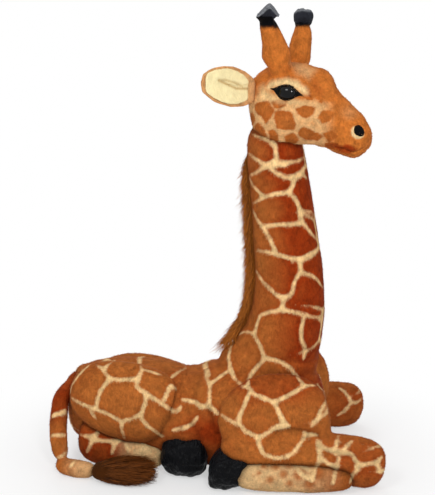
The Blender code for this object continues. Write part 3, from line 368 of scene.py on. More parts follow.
# Shapes painted on the face, as corners in the picture: cream ones, then brown ones of painted shade at the
# mouth, the jaw, the eye's corner and the nose's side
PALE_BROW = [
    (266, 88), (270, 82), (278, 79.5), (287, 78.5), (298, 81), (305, 87), (308, 94), (304, 94), (296, 89),
    (286, 85), (275, 87), (268, 90),
]
PALE_TEMPLE = [(257, 97), (259, 88), (264, 84), (268, 90), (263, 98)]
PALE_UNDER_EYE = [(263, 93), (268, 92), (275, 98), (286, 101.5), (297, 99.5), (303, 103),
                  (286, 104.5), (264, 100)]
PALE_FOREHEAD = [(291, 63), (304, 64), (316, 70), (309, 79), (298, 74)]
LIPS_PAINTED_SHADE = [(336, 147), (345, 144), (354, 146), (357, 150), (350, 154), (341, 153)]
JAW_PAINTED_SHADE = [(322, 142), (338, 143), (345, 149), (338, 152), (326, 147)]
EYE_CORNER_PAINTED_SHADE = [(300, 90), (306, 88), (314, 95), (312, 99), (304, 97)]
NOSE_SIDE_PAINTED_SHADE = [(309, 76), (317, 78), (325, 92), (322, 102), (312, 92)]
# Round marks in the picture: the nostril's pale ring, a painted highlight on the snout's bridge, painted
# shade on the muzzle and painted shade low on the flank
NOSTRIL_RING = (358.3, 131.8)
SNOUT_PAINTED_HIGHLIGHT = (349, 114, 9, 8)
MUZZLE_PAINTED_SHADE = (352, 136, 16, 15)
LOW_FLANK_PAINTED_SHADE = (212, 432, 27, 17)
# The ear lining's pocket, in the ear's plane in metres: its slit, the slit's upper edge and the lip over it
LINING_SLIT = [(0.066, 0, 0.0120), (0.050, 0, 0.0065), (0.036, 0, 0.0020), (0.014, 0, 0.0025)]
LINING_UPPER = [(0.066, 0, 0.0120), (0.054, 0, 0.0122), (0.040, 0, 0.0095), (0.026, 0, 0.0045)]
LINING_LIP = [(0.064, 0, 0.0135), (0.052, 0, 0.0125), (0.034, 0, 0.0085), (0.014, 0, 0.0080)]
# Seats on the right side of the face, in the head's frame, and how far each turns forward, in degrees
EYE_SEAT = ((0.0345, 0.0435, 0.0568), 4.0)
NOSTRIL_SEAT = ((0.1335, 0.024, 0.0095), 32.0)
# Outline of the felt round the eye, and the eye's half sizes, in metres
LID_OUTLINE = [
    (-0.0252, 0.0048), (-0.0190, 0.0056), (-0.0130, 0.0084), (-0.0050, 0.0110), (0.0030, 0.0110),
    (0.0100, 0.0080), (0.0160, 0.0018), (0.0254, -0.0046), (0.0180, -0.0040), (0.0125, -0.0066),
    (0.0050, -0.0106), (-0.0030, -0.0112), (-0.0100, -0.0088), (-0.0155, -0.0030), (-0.0190, 0.0020),
]
EYE_HALF_SIZES = (0.0132, 0.0104, 0.0074)
# Width of the ear's leaf: places along its length, and the share of its half width there
LEAF_PLACES = (-0.03, 0.24, 0.50, 0.80, 1.00)
LEAF_WIDTHS = (0.46, 0.86, 1.04, 0.86, 0.42)
# Colours of the horn tips and their paler grey crowns, and of the ear linings and the painted shade in their
# folds
TIP_COLOURS = ((0.012, 0.013, 0.019), (0.24, 0.25, 0.27))
LINING_COLOURS = ((0.84, 0.72, 0.40), (0.46, 0.28, 0.10))
# Soft lamps: place, size in metres and power in watts, and the point that all of them light
LAMPS = {
    "key": ((-0.9, -1.3, 1.7), 0.55, 11.5),
    "fill": ((1.3, -0.9, 0.9), 1.0, 2.2),
    "back": ((-0.3, 1.4, 1.5), 1.0, 9.0),
    "near": ((0.30, -1.5, 1.10), 0.24, 10.5),
}
LAMPS_AIM = Vector((0.0, 0.0, 0.3))
WORLD_LIGHT = 0.50
FILM_WIDTH = 36.0


def colour_setting(name, description, default):
    """A colour that a user may change."""
    return bpy.props.FloatVectorProperty(
        name=name, description=description, subtype="COLOR", size=3, min=0, max=1, default=default)


def length_setting(name, description, default, low, high):
    """A length in metres that a user may change."""
    return bpy.props.FloatProperty(
        name=name, description=description, default=default, min=low, max=high,
        subtype="DISTANCE", unit="LENGTH")


def count_setting(name, description):
    """A number of strands that a user may change."""
    return bpy.props.IntProperty(name=name, description=description, default=5200, min=100, max=20000)


class GiraffeSettings(bpy.types.PropertyGroup):
    """Sizes and colours that a user would change"""

    patch_colour: colour_setting("Patch", "Lit colour of the coat's patches", (0.40, 0.120, 0.024))
    deep_colour: colour_setting(
        "Deep patch", "Colour of the patches down the throat and the chest", (0.27, 0.032, 0.004))
    line_colour: colour_setting("Line", "Cream of the lines between the patches", (0.78, 0.53, 0.25))
    face_colour: colour_setting("Face", "Tan of the face and the horn stalks", (0.52, 0.152, 0.026))
    cream_colour: colour_setting("Cream", "Cream of the brows and the lower legs", (0.76, 0.56, 0.28))
    dark_colour: colour_setting("Hoof", "Near black of hooves and horn ends", (0.0022, 0.0023, 0.0030))
    mane_colour: colour_setting("Mane", "Brown of the mane's pile", (0.30, 0.090, 0.012))
    tuft_colour: colour_setting("Tuft", "Dark brown of the tail's tuft", (0.105, 0.030, 0.005))
    line_width: length_setting("Line width", "Width of the cream lines", 0.0052, 0.002, 0.02)
    pile_size: length_setting("Pile", "Size of the short pile's grain", 0.0022, 0.0005, 0.01)
    skin_cell: length_setting("Skin cell", "Cell size of the stuffed skins", 0.0026, 0.001, 0.01)
    mane_strands: count_setting("Mane strands", "Strands of the mane")
    tuft_strands: count_setting("Tuft strands", "Strands of the tail's tuft")


def settings():
    """The settings of this scene's giraffe."""
    return bpy.context.scene.plush_giraffe


# Meshes

def joined_solid(*nodes):
    """The CAD solids of these nodes in one mesh, with the seams between their facets merged."""
    bm = bmesh.new()
    for name in nodes:
        bm.from_mesh(frame["nodes"][name].data)
    bmesh.ops.remove_doubles(bm, verts=bm.verts[:], dist=0.00002)
    mesh = bpy.data.meshes.new(nodes[0] + "_solid")
    bm.to_mesh(mesh)
    bm.free()
    return mesh


def new_object(name, mesh):
    """An object in the scene with this data."""
    ob = bpy.data.objects.new(name, mesh)
    bpy.context.scene.collection.objects.link(ob)
    return ob


def applied(ob):
    """Replaces the object's mesh by the one its modifiers give."""
    graph = bpy.context.evaluated_depsgraph_get()
    mesh = bpy.data.meshes.new_from_object(ob.evaluated_get(graph), depsgraph=graph)
    ob.modifiers.clear()
    ob.data = mesh
    return ob


def stuffed_skin(name, nodes, cell, puff, rounds, wads=()):
    """A sewn skin over CAD solids and round wads of filling: puffed out, rounded and closed."""
    mesh = joined_solid(*nodes)
    bm = bmesh.new()
    bm.from_mesh(mesh)
    for centre, radius in wads:
        bmesh.ops.create_icosphere(bm, subdivisions=4, radius=radius, matrix=Matrix.Translation(centre))
    bm.to_mesh(mesh)
    bm.free()
    ob = new_object(name, mesh)
    swell = ob.modifiers.new("Swell", "DISPLACE")
    swell.strength = puff
    swell.mid_level = 0.0
    cells = ob.modifiers.new("Cells", "REMESH")
    cells.mode = "VOXEL"
    cells.voxel_size = cell
    soft = ob.modifiers.new("Rounding", "SMOOTH")
    soft.factor = 0.5
    soft.iterations = rounds
    applied(ob)
    keep_outer(ob.data)
    ob.data.shade_smooth()
    return ob


def keep_outer(mesh):
    """Removes every closed shell but the largest."""
    bm = bmesh.new()
    bm.from_mesh(mesh)
    left = set(bm.verts)
    shells = []
    while left:
        stack = [left.pop()]
        shell = set(stack)
        while stack:
            for edge in stack.pop().link_edges:
                for vert in edge.verts:
                    if vert in left:
                        left.discard(vert)
                        shell.add(vert)
                        stack.append(vert)
        shells.append(shell)
    largest = max(shells, key=len)
    spare = [vert for shell in shells if shell is not largest for vert in shell]
    bmesh.ops.delete(bm, geom=spare, context="VERTS")
    bm.to_mesh(mesh)
    bm.free()


def points_of(mesh):
    """The mesh's points, one row each."""
    co = np.empty(len(mesh.vertices) * 3)
    mesh.vertices.foreach_get("co", co)
    return co.reshape(-1, 3)


def normals_of(mesh):
    """The normals of the mesh's points, one row each."""
    out = np.empty(len(mesh.vertices) * 3)
    mesh.vertices.foreach_get("normal", out)
    return out.reshape(-1, 3)


def move_points(mesh, co):
    """Puts the mesh's points in new places."""
    mesh.vertices.foreach_set("co", co.ravel())
    mesh.update()


def put_values(mesh, name, values):
    """Paints one named value on each point of the mesh."""
    layer = mesh.attributes.get(name) or mesh.attributes.new(name, "FLOAT", "POINT")
    layer.data.foreach_set("value", np.asarray(values, np.float32))


def finish_with(mesh, material):
    """Gives the mesh one material in place of those it has."""
    mesh.materials.clear()
    mesh.materials.append(material)


def placed(co, matrix):
    """Points taken through a matrix."""
    return np.array([matrix @ Vector(p) for p in co])


def above_floor(co, height=FLOOR_CLEAR):
    """Points kept at this height or over it."""
    co[:, 2] = np.maximum(co[:, 2], height)
    return co


def close_to(near, width):
    """1 where near is 0, falling to 0 past the width."""
    return np.exp(-(near / width) ** 2)


def raised(co, nor, near, height, width):
    """Points lifted along their normals where near is small. A negative height presses them in."""
    return co + nor * (height * close_to(near, width))[:, None]


def unevenness(co, size, shift=(0.0, 0.0, 0.0)):
    """Smooth noise at each point, with hills of this size."""
    shift = Vector(shift)
    return np.array([noise.noise(Vector(p) / size + shift) for p in co])


def step_between(low, high, x):
    """Eased step: 0 at low, 1 at high, whichever is larger."""
    t = np.clip((x - low) / (high - low), 0.0, 1.0)
    return t * t * (3 - 2 * t)


def soft_spot(u, v, mark):
    """A round mark in the picture, given by its column, row, half width and half height."""
    at_u, at_v, wide, high = mark
    return np.exp(-((u - at_u) / wide) ** 2 - ((v - at_v) / high) ** 2)


# The coat's lines

def ray_through(u, v):
    """Direction of the camera's ray through a column and row of its picture."""
    a = (u - PICTURE[0] / 2) / FOCAL_PIXELS
    b = (PICTURE[1] / 2 - v) / FOCAL_PIXELS
    c, s = math.cos(CAMERA_PITCH), math.sin(CAMERA_PITCH)
    return Vector((a, c + s * b, -s + c * b)).normalized()


def seen_at(co):
    """Column and row of points in the camera's picture, and their depth."""
    c, sn = math.cos(CAMERA_PITCH), math.sin(CAMERA_PITCH)
    off = co - np.array(CAMERA_AT)
    depth = off[:, 1] * c - off[:, 2] * sn
    up = off[:, 1] * sn + off[:, 2] * c
    u = PICTURE[0] / 2 + FOCAL_PIXELS * off[:, 0] / depth
    v = PICTURE[1] / 2 - FOCAL_PIXELS * up / depth
    return u, v, depth


def fit_outline(co, table, weight):
    """Points scaled up and down in the picture until the outline's rows are the table's."""
    u, v, depth = seen_at(co)
    table = [row for row in table if (np.abs(u - row[0]) < 1.6).any()]
    columns = [row[0] for row in table]
    tops, lows = [], []
    for column in columns:
        here = v[np.abs(u - column) < 1.6]
        tops.append(here.min())
        lows.append(here.max())
    top, low = np.interp(u, columns, tops), np.interp(u, columns, lows)
    new_top = np.interp(u, columns, [row[1] or 0 for row in table])
    new_low = np.interp(u, columns, [row[2] for row in table]) if len(table[0]) > 2 else low
    share = (low - v) / np.maximum(low - top, 1.0)
    if table[0][1] is None:
        moved = (new_low - low) * step_between(0.55, 0.10, share) * weight(u) * depth / FOCAL_PIXELS
    else:
        moved = (new_low - share * (new_low - new_top) - v) * weight(u) * depth / FOCAL_PIXELS
    down = np.array([0.0, -math.sin(CAMERA_PITCH), -math.cos(CAMERA_PITCH)])
    return co + down * moved[:, None]


def inside_shape(u, v, corners):
    """How far inside a shape in the picture each place is, in pixels: negative outside."""
    least = np.full(len(u), 1e9)
    crossed = np.zeros(len(u), bool)
    for (x0, y0), (x1, y1) in zip(corners, corners[1:] + corners[:1]):
        t = np.clip(((u - x0) * (x1 - x0) + (v - y0) * (y1 - y0)) / ((x1 - x0) ** 2 + (y1 - y0) ** 2), 0, 1)
        least = np.minimum(least, np.hypot(u - x0 - t * (x1 - x0), v - y0 - t * (y1 - y0)))
        if y0 != y1:
            crossed ^= ((y0 > v) != (y1 > v)) & (u < (x1 - x0) * (v - y0) / (y1 - y0) + x0)
    return np.where(crossed, least, -least)


def skin_tree(mesh):
    """The mesh's faces, ready for rays and for nearest points."""
    return BVHTree.FromPolygons([v.co for v in mesh.vertices], [p.vertices for p in mesh.polygons])


def points_along(mesh, lines, spacing, ray):
    """Points of lines cast on the skin. ray gives a start and a direction for a place on a line."""
    tree = skin_tree(mesh)
    found = []
    for line in lines:
        for a, b in zip(line, line[1:]):
            steps = max(1, round(math.dist(a, b) / spacing))
            for i in range(steps + 1):
                t = i / steps
                hit = tree.ray_cast(*ray(a[0] + (b[0] - a[0]) * t, a[1] + (b[1] - a[1]) * t))[0]
                if hit is not None:
                    found.append(hit)
    return found


def points_from(mesh, lines, at, way):
    """Points of lines cast on the skin along one direction. at places a line's two numbers in space."""
    return points_along(mesh, lines, LINE_SPACING, lambda a, b: (at(a, b), way))


def points_from_front(mesh, lines):
    """Points of lines cast on the skin from ahead of the toy."""
    return points_from(mesh, lines, lambda y, z: Vector((0.5, y, z)), Vector((-1, 0, 0)))


def points_on_skin(mesh, lines):
    """Points along lines of the camera's picture, where they fall on the skin."""
    return points_along(mesh, lines, PIXEL_SPACING, lambda u, v: (CAMERA_AT, ray_through(u, v)))


def point_tree(points):
    """Points in space, ready for nearest ones."""
    tree = KDTree(len(points))
    for i, point in enumerate(points):
        tree.insert(point, i)
    tree.balance()
    return tree


def distance_to(co, points):
    """How far each mesh point is from the nearest of these points."""
    tree = point_tree(points)
    return np.array([tree.find(Vector(p))[2] for p in co])


def line_distance(co, points):
    """Distance to the coat's lines, drawn in where lines meet, so that junctions grow wide."""
    spaced = {}
    for point in points:
        spaced.setdefault(tuple(round(c / LINE_CELL) for c in point), point)
    tree = point_tree(list(spaced.values()))
    out = np.empty(len(co))
    for k, p in enumerate(co):
        near = np.array([found[2] for found in tree.find_n(p, JUNCTION_POINTS)])
        drawn_in = math.log(np.exp((near[0] - near) / JUNCTION_REACH).sum())
        out[k] = near[0] - JUNCTION_REACH * drawn_in + JUNCTION_GAIN
    return out


def mirrored(points, turn):
    """Points of one side taken to the other by a matrix."""
    return [turn @ point for point in points]


FLIP = Matrix.Diagonal((1.0, -1.0, 1.0, 1.0))


def hip_flip(along=0.0, beside=0.0, down=0.0):
    """From the right hind leg to the left one, which is set back, in and lower by these."""
    here = Matrix.Translation(HIP) @ Matrix.Rotation(HIP_YAW, 4, "Z")
    return here @ Matrix.Translation((-along, -beside, -down)) @ FLIP @ here.inverted()


def shoulder_flip():
    """From the right foreleg to the left one, which is splayed."""
    there = Matrix.Translation(LEFT_SHOULDER) @ Matrix.Rotation(LEFT_SPLAY, 4, "Z")
    return there @ FLIP @ Matrix.Translation(RIGHT_SHOULDER).inverted()


def centre_line_y(x):
    """Where the middle of the torso lies across."""
    return float(np.interp(x, SWAY_X, SWAY_Y))


def torso_flip(point):
    """A point of one flank taken to the other."""
    return Vector((point.x, 2 * centre_line_y(point.x) - point.y, point.z))


def extra_points(points):
    """Points along a line in space."""
    out = []
    for a, b in zip(points, points[1:]):
        a, b = Vector(a), Vector(b)
        steps = max(1, round((b - a).length / LINE_SPACING))
        out += [a.lerp(b, i / steps) for i in range(steps + 1)]
    return out


# Node groups

def new_group(name, inputs, outputs):
    """A shader node group with these named sockets, and its two end nodes."""
    tree = bpy.data.node_groups.new(name, "ShaderNodeTree")
    for label, kind, value in inputs:
        socket = tree.interface.new_socket(label, in_out="INPUT", socket_type=kind)
        if value is not None:
            socket.default_value = value
    for label, kind in outputs:
        tree.interface.new_socket(label, in_out="OUTPUT", socket_type=kind)
    return tree, tree.nodes.new("NodeGroupInput"), tree.nodes.new("NodeGroupOutput")


def add(tree, kind, **values):
    """A node with its options and unlinked inputs set."""
    node = tree.nodes.new(kind)
    for key, value in values.items():
        if hasattr(node, key):
            setattr(node, key, value)
        else:
            node.inputs[key.replace("_", " ")].default_value = value
    return node


def maths(tree, operation, first, second=None, clamp=False):
    """One step of arithmetic. Each operand may be a socket or a number."""
    node = add(tree, "ShaderNodeMath", operation=operation, use_clamp=clamp)
    for socket, value in zip(node.inputs, (first, second)):
        if isinstance(value, (int, float)):
            socket.default_value = value
        elif value is not None:
            tree.links.new(value, socket)
    return node.outputs[0]


def mix_colour(tree, factor, first, second):
    """Two colours mixed by a factor. Each may be a socket or a plain value."""
    node = add(tree, "ShaderNodeMix", data_type="RGBA")
    for socket, value in ((node.inputs[0], factor), (node.inputs[6], first), (node.inputs[7], second)):
        if isinstance(value, tuple):
            socket.default_value = rgba(value)
        else:
            tree.links.new(value, socket)
    return node.outputs[2]


def rgba(colour):
    """A colour with full opacity."""
    return (*colour, 1.0)


def ramp(tree, value, start, end, low=0.0, high=1.0):
    """Eased change from low to high while the value goes from start to end."""
    node = add(tree, "ShaderNodeMapRange", interpolation_type="SMOOTHSTEP")
    for socket, given in zip(node.inputs, (value, start, end, low, high)):
        if isinstance(given, float):
            socket.default_value = given
        else:
            tree.links.new(given, socket)
    return node.outputs[0]


def painted(tree, name):
    """A value that is painted on the mesh's points."""
    return add(tree, "ShaderNodeAttribute", attribute_name=name).outputs["Fac"]


def noise_over(tree, place, **values):
    """Noise over a place, about 0.5."""
    node = add(tree, "ShaderNodeTexNoise", **values)
    tree.links.new(place, node.inputs["Vector"])
    return node.outputs["Fac"]


def toned(tree, colour, value):
    """A colour made brighter or darker by a socket's value."""
    node = add(tree, "ShaderNodeHueSaturation")
    if isinstance(colour, tuple):
        node.inputs["Color"].default_value = rgba(colour)
    else:
        tree.links.new(colour, node.inputs["Color"])
    tree.links.new(value, node.inputs["Value"])
    return node.outputs[0]


def short_pile_group():
    """Grain of a short brushed pile: colour variation, and a height for a Bump node."""
    if "short_pile" in bpy.data.node_groups:
        return bpy.data.node_groups["short_pile"]
    tree, inp, out = new_group(
        "short_pile",
        [("Size", "NodeSocketFloat", 0.002), ("Colour", "NodeSocketColor", (0.5, 0.5, 0.5, 1)),
         ("Variation", "NodeSocketFloat", 0.3)],
        [("Colour", "NodeSocketColor"), ("Height", "NodeSocketFloat"), ("Roughness", "NodeSocketFloat")])
    place = add(tree, "ShaderNodeTexCoord").outputs["Object"]
    stretch = add(tree, "ShaderNodeMapping", Scale=(1.0, 1.0, 0.45))
    tree.links.new(place, stretch.inputs["Vector"])
    scale = maths(tree, "DIVIDE", 1.0, inp.outputs["Size"])
    fine = noise_over(tree, stretch.outputs[0], Detail=2.0, Roughness=0.6)
    tree.links.new(scale, fine.node.inputs["Scale"])
    swirl = noise_over(tree, place, Detail=3.0, Roughness=0.55, Distortion=0.6)
    tree.links.new(maths(tree, "DIVIDE", scale, 4.5), swirl.node.inputs["Scale"])
    spread = maths(tree, "SUBTRACT", fine, 0.5)
    broad = maths(tree, "SUBTRACT", swirl, 0.5)
    shade = maths(tree, "ADD", maths(tree, "MULTIPLY", spread, 0.8), maths(tree, "MULTIPLY", broad, 1.3))
    value = maths(tree, "ADD", 1.0, maths(tree, "MULTIPLY", shade, inp.outputs["Variation"]))
    tree.links.new(toned(tree, inp.outputs["Colour"], value), out.inputs["Colour"])
    tree.links.new(maths(tree, "ADD", fine, maths(tree, "MULTIPLY", swirl, 0.6)), out.inputs["Height"])
    tree.links.new(maths(tree, "ADD", 0.86, maths(tree, "MULTIPLY", spread, 0.2)), out.inputs["Roughness"])
    return tree


def coat_group():
    """The giraffe's coat: patches parted by furry cream lines that are painted on the skin."""
    if "coat" in bpy.data.node_groups:
        return bpy.data.node_groups["coat"]
    tree, inp, out = new_group(
        "coat",
        [("Patch", "NodeSocketColor", (0.5, 0.2, 0.05, 1)),
         ("Deep", "NodeSocketColor", (0.2, 0.02, 0.01, 1)),
         ("Line", "NodeSocketColor", (0.8, 0.6, 0.3, 1)),
         ("Face", "NodeSocketColor", (0.6, 0.24, 0.07, 1)),
         ("Cream", "NodeSocketColor", (0.84, 0.7, 0.4, 1)),
         ("Dark", "NodeSocketColor", (0.01, 0.01, 0.01, 1)),
         ("Width", "NodeSocketFloat", 0.0078)],
        [("Colour", "NodeSocketColor")])
    place = add(tree, "ShaderNodeTexCoord").outputs["Object"]
    wobble = maths(tree, "SUBTRACT", noise_over(tree, place, Scale=110.0, Detail=3.0, Roughness=0.6), 0.5)
    fuzz = maths(tree, "SUBTRACT", noise_over(tree, place, Scale=700.0, Detail=2.0), 0.5)
    edge = maths(tree, "ADD", maths(tree, "MULTIPLY", wobble, 0.0036), maths(tree, "MULTIPLY", fuzz, 0.0013))
    away = maths(tree, "ADD", painted(tree, "away"), edge)
    half = maths(tree, "MULTIPLY", inp.outputs["Width"], 0.5)
    line = ramp(tree, away, maths(tree, "SUBTRACT", half, 0.0016), maths(tree, "ADD", half, 0.0018),
                low=1.0, high=0.0)
    cloud = maths(tree, "SUBTRACT", noise_over(tree, place, Scale=22.0, Detail=3.0, Roughness=0.5), 0.5)
    rim = ramp(tree, away, 0.003, 0.012, low=0.22, high=0.0)
    # the deep value holds the patches' deeper dye together with painted shade
    deep = maths(tree, "ADD", painted(tree, "deep"), maths(tree, "MULTIPLY", cloud, 0.9))
    deep = maths(tree, "ADD", deep, rim, clamp=True)
    patch = mix_colour(tree, deep, inp.outputs["Patch"], inp.outputs["Deep"])
    tan = maths(tree, "ADD", painted(tree, "face"), maths(tree, "MULTIPLY", cloud, 0.15), clamp=True)
    patch = mix_colour(tree, tan, patch, inp.outputs["Face"])
    line_colour = mix_colour(tree, painted(tree, "cheek"), inp.outputs["Line"], inp.outputs["Face"])
    ground = mix_colour(tree, line, patch, line_colour)
    cream = maths(tree, "ADD", painted(tree, "cream"), maths(tree, "MULTIPLY", cloud, 0.25))
    given = maths(tree, "GREATER_THAN", painted(tree, "cream"), 0.01)
    cream = maths(tree, "MULTIPLY", cream, given, clamp=True)
    spotted = ramp(tree, noise_over(tree, place, Scale=75.0, Detail=1.0), 0.50, 0.62)
    spot = maths(tree, "ADD", maths(tree, "MULTIPLY", spotted, 0.55), 0.30)
    spot = maths(tree, "MULTIPLY", spot, painted(tree, "spots"))
    cream_spots = mix_colour(tree, spot, inp.outputs["Cream"], inp.outputs["Face"])
    pale = mix_colour(tree, cream, ground, cream_spots)
    dark = mix_colour(tree, painted(tree, "dark"), pale, inp.outputs["Dark"])
    # painted shade of creases and folds darkens every colour of the coat
    crease_shading = maths(tree, "SUBTRACT", 1.0, maths(tree, "MULTIPLY", painted(tree, "seam"), 0.72))
    tree.links.new(toned(tree, dark, crease_shading), out.inputs["Colour"])
    return tree


def new_material(name, **values):
    """A material with its tree and its Principled shader, whose inputs take these values."""
    made = bpy.data.materials.new(name)
    made.use_nodes = True
    shader = made.node_tree.nodes["Principled BSDF"]
    for key, value in values.items():
        shader.inputs[key.replace("_", " ")].default_value = value
    return made, made.node_tree, shader


def pile_node(tree, size, variation):
    """The short pile's group placed in a material."""
    node = tree.nodes.new("ShaderNodeGroup")
    node.node_tree = short_pile_group()
    node.inputs["Size"].default_value = size
    node.inputs["Variation"].default_value = variation
    return node


def pile_material(name, colour_of, size, variation, bump=0.45, depth=None, sheen=0.03,
                  sheen_tint=(1.0, 0.7, 0.45), specular=0.04):
    """A brushed fabric. colour_of gives a colour, or a socket made in the material's own tree."""
    if name in bpy.data.materials:
        return bpy.data.materials[name]
    made, tree, shader = new_material(name, Sheen_Weight=sheen, Sheen_Roughness=0.45,
                                      Sheen_Tint=rgba(sheen_tint), Specular_IOR_Level=specular)
    pile = pile_node(tree, size, variation)
    if callable(colour_of):
        tree.links.new(colour_of(tree), pile.inputs["Colour"])
    else:
        pile.inputs["Colour"].default_value = rgba(colour_of)
    tree.links.new(pile.outputs["Colour"], shader.inputs["Base Color"])
    tree.links.new(pile.outputs["Roughness"], shader.inputs["Roughness"])
    rise = add(tree, "ShaderNodeBump", Strength=bump, Distance=depth or size)
    tree.links.new(pile.outputs["Height"], rise.inputs["Height"])
    tree.links.new(rise.outputs[0], shader.inputs["Normal"])
    return made


def coat_node(tree):
    """The coat's group placed in a material with the giraffe's colours."""
    s = settings()
    node = tree.nodes.new("ShaderNodeGroup")
    node.node_tree = coat_group()
    for socket, colour in (("Patch", s.patch_colour), ("Deep", s.deep_colour), ("Line", s.line_colour),
                           ("Face", s.face_colour), ("Cream", s.cream_colour), ("Dark", s.dark_colour)):
        node.inputs[socket].default_value = rgba(colour)
    node.inputs["Width"].default_value = s.line_width
    return node


def coat_material():
    """The woven ground of the coat under its pile."""
    return pile_material(
        "giraffe_coat", lambda tree: coat_node(tree).outputs["Colour"], settings().pile_size, 0.95)


def strand_material(name, colour):
    """Long pile: each strand has its own tone, with painted shade at its root and painted light at its tip.
    """
    made, tree, shader = new_material(name, Roughness=0.6, Specular_IOR_Level=0.08)
    own = maths(tree, "ADD", maths(tree, "MULTIPLY", painted(tree, "tone"), 1.0), 0.45)
    # painted shade at the strand's root, painted light towards its tip
    tip = maths(tree, "ADD", 0.6, maths(tree, "MULTIPLY", painted(tree, "along"), 0.9))
    value = maths(tree, "MULTIPLY", own, tip)
    tree.links.new(toned(tree, tuple(colour), value), shader.inputs["Base Color"])
    return made


def plain_material(name, colour, roughness, specular=0.5, metallic=0.0):
    """A smooth material of one colour."""
    return new_material(name, Base_Color=rgba(colour), Roughness=roughness, Specular_IOR_Level=specular,
                        Metallic=metallic)[0]


# Dressing

# the deep value holds deeper dye together with painted shade; the crease value holds painted shade in creases
# and folds
COAT_VALUES = ("away", "deep", "face", "cheek", "cream", "spots", "dark", "seam")


def dress_coat(ob, **values):
    """Paints the coat's values on a skin. Those not given are zero, with all lines far away."""
    for name in COAT_VALUES:
        value = values.get(name, 1.0 if name == "away" else 0.0)
        put_values(ob.data, name, value + np.zeros(len(ob.data.vertices)))
    finish_with(ob.data, coat_material())


def hand_in(ob, body, nodes):
    """Attaches a stuffed piece to what it rides on, if anything, and hides the solids it stands for."""
    if body:
        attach(ob, body)
    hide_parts(*nodes)
    return ob


def lay_nap(ob, flow, length=0.0040):
    """Which way a coat's pile lies, and how long it is. The pile pass reads it."""
    nap = np.broadcast_to(np.asarray(flow, np.float32), (len(ob.data.vertices), 3))
    ob.data.attributes.new("nap", "FLOAT_VECTOR", "POINT").data.foreach_set("vector", nap.ravel())
    ob["pile_length"] = length


def crumple(mesh, strength, size, seed):
    """Small uneven swellings of a hand-stuffed skin."""
    lift = unevenness(points_of(mesh), size, (seed * 3.1, seed * 1.7, seed * 2.3)) * strength
    move_points(mesh, above_floor(points_of(mesh) + normals_of(mesh) * lift[:, None]))


def bend_with_neck(ob):
    """Bakes the object's placement into its mesh, for a coat that rides on no solid."""
    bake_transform(ob)


class GIRAFFE_OT_body(bpy.types.Operator):
    """Torso and neck in one coat"""

    bl_idname = "giraffe.body"
    bl_label = "Body and Neck"

    def execute(self, context):
        ob = stuffed_skin("body_coat", ["torso", "neck"], settings().skin_cell, puff=0.0012, rounds=34,
                          wads=WITHERS)
        co, nor = points_of(ob.data), normals_of(ob.data)
        right = points_on_skin(ob.data, [CHEST_FOLD])
        near = distance_to(co, right + mirrored(right, FLIP))
        co = raised(co, nor, near, height=-0.0030, width=0.0040)
        painted_fold_shade = np.zeros(len(co))
        for path, depth in FLANK_FOLDS:
            line = points_on_skin(ob.data, [path])
            near = distance_to(co, line + [torso_flip(p) for p in line])
            co = raised(co, nor, near, height=-depth, width=0.0042)
            # painted shade along each flank fold
            painted_fold_shade = np.maximum(painted_fold_shade, depth / 0.0048 * close_to(near, 0.0034))
        co = fit_outline(co, BACK_OUTLINE, lambda u: step_between(228, 219, u) * step_between(54, 60, u))
        move_points(ob.data, co)
        crumple(ob.data, strength=0.0012, size=0.035, seed=1)
        co = points_of(ob.data)
        dress_coat(ob, away=line_distance(co, body_lines(ob.data)), deep=deep_and_shade_of_body(co), seam=painted_fold_shade)
        hand_in(ob, None, ["torso", "neck"])
        lay_nap(ob, (-0.35, 0.0, -1.0))
        bend_with_neck(ob)
        return {"FINISHED"}


def body_lines(mesh):
    """Points of the coat's lines on the torso and the neck, all round."""
    lines = points_on_skin(mesh, TORSO_LINES + SHOULDER_LINES + HAUNCH_LINES)
    lines += [torso_flip(p) for p in lines]
    throat = points_on_skin(mesh, NECK_LINES)
    lines += throat + mirrored(throat, FLIP)
    lines += points_from(
        mesh, BACK_LINES, lambda x, y: Vector((x, centre_line_y(x) + y, 0.3)), Vector((0, 0, -1)))
    lines += points_from(mesh, RUMP_LINES, lambda y, z: Vector((-0.5, y, z)), Vector((1, 0, 0)))
    return lines + points_from_front(mesh, THROAT_LINES)


def deep_and_shade_of_body(co):
    """How deep the patches' colour is, partly their deeper dye and partly painted shade: most down the throat
    and the chest, with painted shade low on the near flank, and more towards the floor.
    """
    up = co[:, 2]
    middle = np.interp(up, (0.16, 0.20, 0.50), (0.100, 0.104, 0.083))
    half = np.interp(up, (0.16, 0.20, 0.50), (0.055, 0.049, 0.042))
    front = step_between(-0.80, 0.60, (co[:, 0] - middle) / half)
    deep = (0.15 + 0.95 * front) * step_between(0.14, 0.20, up) + 0.18 * step_between(0.38, 0.47, up)
    deep += 0.12 * step_between(0.20, 0.12, up)
    deep += 0.75 * step_between(0.10, 0.13, co[:, 0]) * step_between(0.20, 0.12, up)
    deep += 0.6 * step_between(0.075, 0.015, up)
    u, v, _ = seen_at(co)
    # painted shade low on the near flank
    deep += 0.95 * soft_spot(u, v, LOW_FLANK_PAINTED_SHADE) * (up < 0.12)
    return np.clip(deep, 0, 1)


